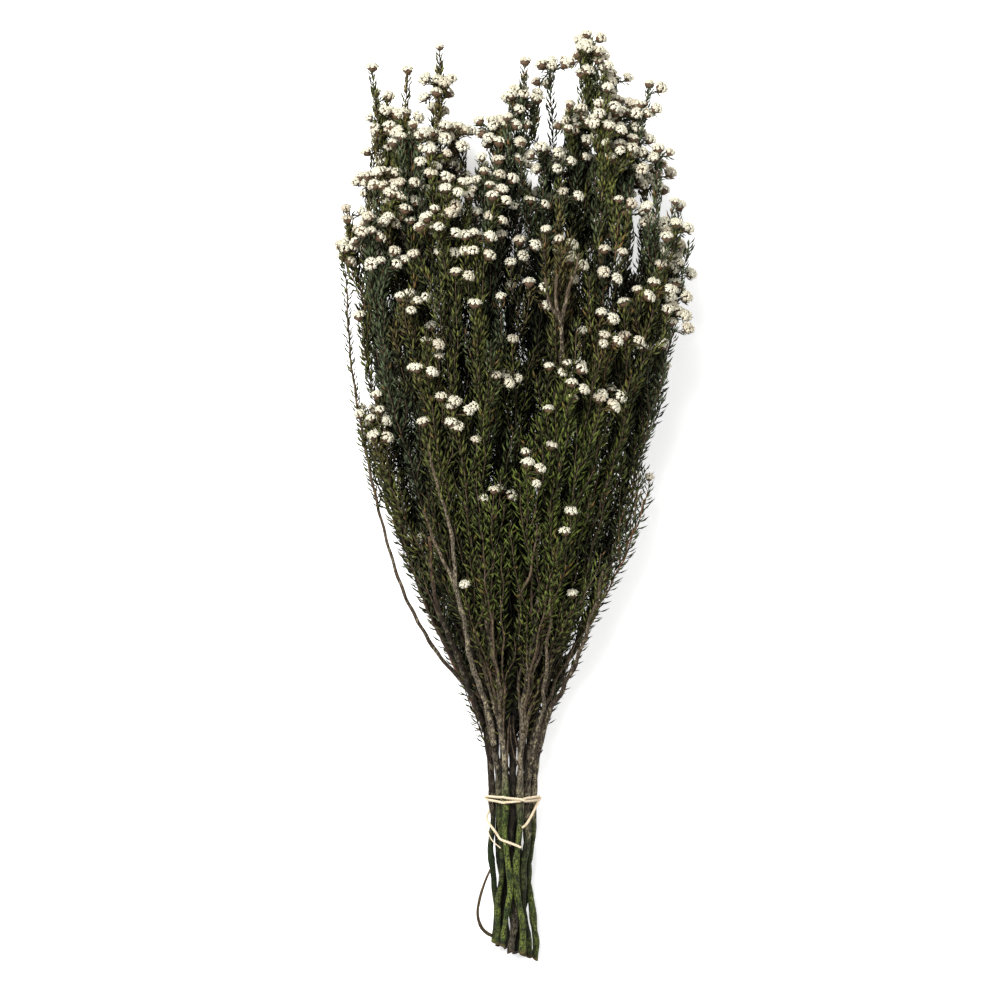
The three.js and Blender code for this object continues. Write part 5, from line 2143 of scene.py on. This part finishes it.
@dataclass
class Tie:
    """The twine: two turns round the bundle and two loose ends, of three plies twisted together.

    Attributes:
        radius: The twine's radius.
        pitch: Length of one full twist.
        lift: How far it stands off the bark.
        APART: Half the way between the two turns at angles round the bundle. They cross where it is nothing.
        ENDS: For each loose end the angles and heights that it runs between, and its sag.
        FRAYED: The same for one frayed ply.
    """

    bunch: Bunch
    radius: float = 0.9
    pitch: float = 5.0
    lift: float = 0.5
    APART = Profile(((-3.142, 0.6), (-1.57, 0.0), (0.0, -0.7), (0.5, -1.1), (1.19, 0.0), (1.95, 1.9),
                     (2.7, 1.2), (3.142, 0.6)))
    ENDS = (((0.05, 1.25), (0.0, -18.0), -1.0), ((4.5, 1.47), (-1.0, -31.0), -4.0))
    FRAYED = ((3.3, 2.3), (-18.0, -31.5), -4.0)
    STEPS = 56
    PLIES = 3
    PLY, FRAYED_PLY = 0.52, 0.42  # their radius, as a share of the twine's
    FIBRE_RADIUS = 0.055
    OVER, CROSSING = 1.7, 1.1  # how far the upper turn rises where the two cross, and how near they then are

    def on_bundle(self, angle: float, y: float, lift: float) -> np.ndarray:
        """Finds where the twine touches the bundle's outside at an angle."""
        out = np.array([math.cos(angle), 0.0, math.sin(angle)])
        best = max(self.bunch.stems, key=lambda stem: float(stem.points(y) @ out + stem.girth(y)))
        return best.points(y) + out * (float(best.girth(y)) + lift)

    def turn(self, way: int) -> np.ndarray:
        """Lays one closed turn, which crosses the other one in front and behind.

        Args:
            way: 1 for the turn that lies over the other, or else -1.

        Returns:
            Its points.
        """
        points = []
        for angle in np.linspace(-math.pi, math.pi, self.STEPS, endpoint=False) + 0.02 * way:
            apart = float(self.APART.read(1, np.float64(angle)))
            over = self.OVER * float(eased(1 - abs(apart) / self.CROSSING)) * max(way, 0)
            points.append(self.on_bundle(float(angle), way * apart, self.radius + self.lift + over))
        return np.array(points + points[:1])

    def loose(self, angles: tuple[float, float], ys: tuple[float, float], sag: float) -> np.ndarray:
        """Lays one loose end over the bundle, falling evenly along its own length.

        Args:
            angles: Where round the bundle it starts and ends.
            ys: The heights at which it starts and ends.
            sag: How far its middle hangs below the straight way.

        Returns:
            Its points.
        """
        turns = np.linspace(*angles, 34)
        run = run_along(np.array([self.on_bundle(angle, ys[0], 0.0) for angle in turns]))
        share = run / run[-1]
        heights = ys[0] + (ys[1] - ys[0]) * share + sag * np.sin(math.pi * share)
        rises = self.radius + self.lift + 0.1 + 1.2 * share
        found = [self.on_bundle(*spot) for spot in zip(turns, heights, rises)]
        return even(np.array(found), 3.0)

    @staticmethod
    def rounded(points: np.ndarray) -> np.ndarray:
        """Rounds the corners of a line and keeps its two ends."""
        points = points.copy()
        for _ in range(2):
            points[1:-1] = (points[:-2] + 2 * points[1:-1] + points[2:]) / 4
        return points

    def plies(self, line: np.ndarray) -> Iterator[np.ndarray]:
        """Twists three plies round a line."""
        along = np.gradient(line, axis=0)
        along /= np.linalg.norm(along, axis=1)[:, None]
        side = np.cross(along, np.array([0.0, 1.0, 0.001]))
        side /= np.linalg.norm(side, axis=1)[:, None]
        up = np.cross(side, along)
        run = run_along(line)
        for ply in range(self.PLIES):
            angle = (2 * math.pi * (run / self.pitch + ply / self.PLIES))[:, None]
            yield line + (side * np.cos(angle) + up * np.sin(angle)) * (self.radius * 0.5)

    @staticmethod
    def fibre(line: np.ndarray, draws: Draws) -> np.ndarray:
        """Bends one stray fibre out of the twine."""
        start = line[int(draws() * (len(line) - 1))]
        way = unit(np.array([draws() - 0.5, draws() - 0.5, draws() - 0.2]))
        turn = unit(np.array([draws() - 0.5, draws() - 0.5, draws() - 0.5]))
        t = np.linspace(0, 1, 4)[:, None]
        return start + way * (draws.between(1.4, 3.0) * t) + turn * (1.1 * t ** 2)

    def build(self, tubes: "TwineTubes") -> bpy.types.Object:
        """Builds the whole tie."""
        lines = Lines()
        routes = [self.turn(1), self.turn(-1)] + [self.loose(*end) for end in self.ENDS]
        draws = Draws.apart(77)
        for route in routes:
            line = even(self.rounded(route), 0.7)
            for ply in self.plies(line):
                lines.add(ply, girth=self.radius * self.PLY * MM)
            for _ in range(int(len(line) / 6)):
                lines.add(self.fibre(line, draws), girth=self.FIBRE_RADIUS * MM)
        frayed = even(self.rounded(self.rounded(self.loose(*self.FRAYED))), 1.0)
        lines.add(frayed, girth=self.radius * self.FRAYED_PLY * MM)
        return tubes.make("tie_twine_yarn", lines.made("tie_lines"))


class TwineTubes(GrownPiece):
    """Round plies along lines."""

    name = "twine_tubes"
    inputs = {"Sides": ("NodeSocketInt", 6)}

    def grow(self) -> Wire:
        """Sweeps a circle along each line."""
        return self.tubes(self.entry, self.size("Sides"))


@dataclass
class Studio:
    """The floor, the lights and the camera, which looks straight down on the bunch.

    Attributes:
        height: The camera's height over the floor.
        middle: The height in the bunch at which the photograph's scale holds.
        width: What the frame takes in at that height.
        aim: The place that the frame is centred on.
    """

    height: float = 2.4
    middle: float = 0.066
    width: float = 0.6430
    aim: tuple[float, float] = (-0.0102, 0.0004)

    FLOOR = 3.0  # half the floor's side
    LIGHTS = (  # name, place, size and power
        ("key", (-0.8, 1.1, 2.0), 1.2, 96.0),
        ("fill", (1.5, 0.2, 1.4), 1.4, 12.0),
        ("low", (0.0, -1.7, 1.2), 1.2, 9.0),
    )
    LIT = (0.0, 0.05, 0.0)  # the place that the lights face
    SKY = {"Color": (1.0, 1.0, 1.0, 1.0), "Strength": 0.2}
    SENSOR = 36.0
    FAR = 20.0

    def floor(self) -> None:
        """Lays the floor."""
        corners = np.array([(x, y, 0) for x, y in ((-1, -1), (1, -1), (1, 1), (-1, 1))]) * self.FLOOR
        made = mesh_object("studio_floor", corners, (), ((0, 1, 2, 3),))
        made.data.materials.append(FloorFinish().material)

    def light(self, name: str, place: tuple[float, float, float], size: float, power: float) -> None:
        """Hangs a soft square light that faces the bunch."""
        lamp = bpy.data.lights.new(name, "AREA")
        lamp.shape = "SQUARE"
        lamp.size = size
        lamp.energy = power
        made = bpy.data.objects.new(name, lamp)
        made.location = place
        made.rotation_euler = (Vector(self.LIT) - Vector(place)).to_track_quat("-Z", "Y").to_euler()
        bpy.context.scene.collection.objects.link(made)

    def build(self) -> None:
        """Sets up the floor, the lights, the sky and the camera."""
        self.floor()
        for light in self.LIGHTS:
            self.light(*light)
        world = bpy.data.worlds.new("studio")
        world.use_nodes = True
        graph = Graph(world.node_tree)
        sky = graph.node("ShaderNodeBackground", None, self.SKY)
        graph.node("ShaderNodeOutputWorld", None, {"Surface": sky})
        scene = bpy.context.scene
        scene.world = world
        scene.view_settings.view_transform = "Standard"
        camera = bpy.data.cameras.new("camera")
        camera.sensor_width = self.SENSOR
        camera.lens = camera.sensor_width * (self.height - self.middle) / self.width
        camera.clip_end = self.FAR
        made = bpy.data.objects.new("camera", camera)
        made.location = (*self.aim, self.height)
        scene.collection.objects.link(made)
        scene.camera = made


def main() -> None:
    """Builds and dresses the whole bunch."""
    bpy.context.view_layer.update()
    Studio().build()
    bunch = Bunch(stems_of_the_bunch())
    bunch.grow()
    log.info("%d branches, %d shoots", len(bunch.branches), sum(len(b.shoots) for b in bunch.branches))
    bark, needle, bloom = BarkFinish(), NeedleFinish(), BloomFinish()
    tubes, rows, spots = BarkTubes(bark), NeedleRows(needle), BloomSpots(bloom)
    leaf = Needle().made()
    kinds = HeadKinds().collection()
    total = 0
    grown = [DressedStem(stem, [b for b in bunch.branches if b.stem is stem], i)
             for i, stem in enumerate(bunch.stems)]
    for dressed in grown:
        dressed.grow()
    cover = Cover(grown)
    for i, dressed in enumerate(grown):
        name = dressed.stem.name
        # Painted shade: each point of wood and needles gets its openness, which darkens its colour.
        cover.shade(dressed.wood)
        cover.shade(dressed.leafy)
        pieces = (
            tubes.make(f"{name}_wood", dressed.wood.made("limbs")),
            rows.make(f"{name}_needles", dressed.leafy.made("rows"), Leaf=leaf, Seed=NEEDLE_SEED + i),
            spots.make(f"{name}_blooms", dressed.bloom_points(cover), Heads=kinds, Seed=BLOOM_SEED + i),
        )
        dressed.slant_foot(pieces[0])
        total += sum(keep(piece, name, Slot.PHYLICA) for piece in pieces)
        log.info("%s: %d heads", name, len(dressed.heads))
    total += keep(Tie(bunch).build(TwineTubes(TwineFinish())), "tie_twine", Slot.TWINE)
    for held in (leaf, *kinds.objects):
        bpy.data.objects.remove(held)
    bpy.data.collections.remove(kinds)
    log.info("%d triangles in all", total)


if __name__ == "__main__":
    logging.basicConfig(level=logging.INFO, format="%(message)s")
    main()
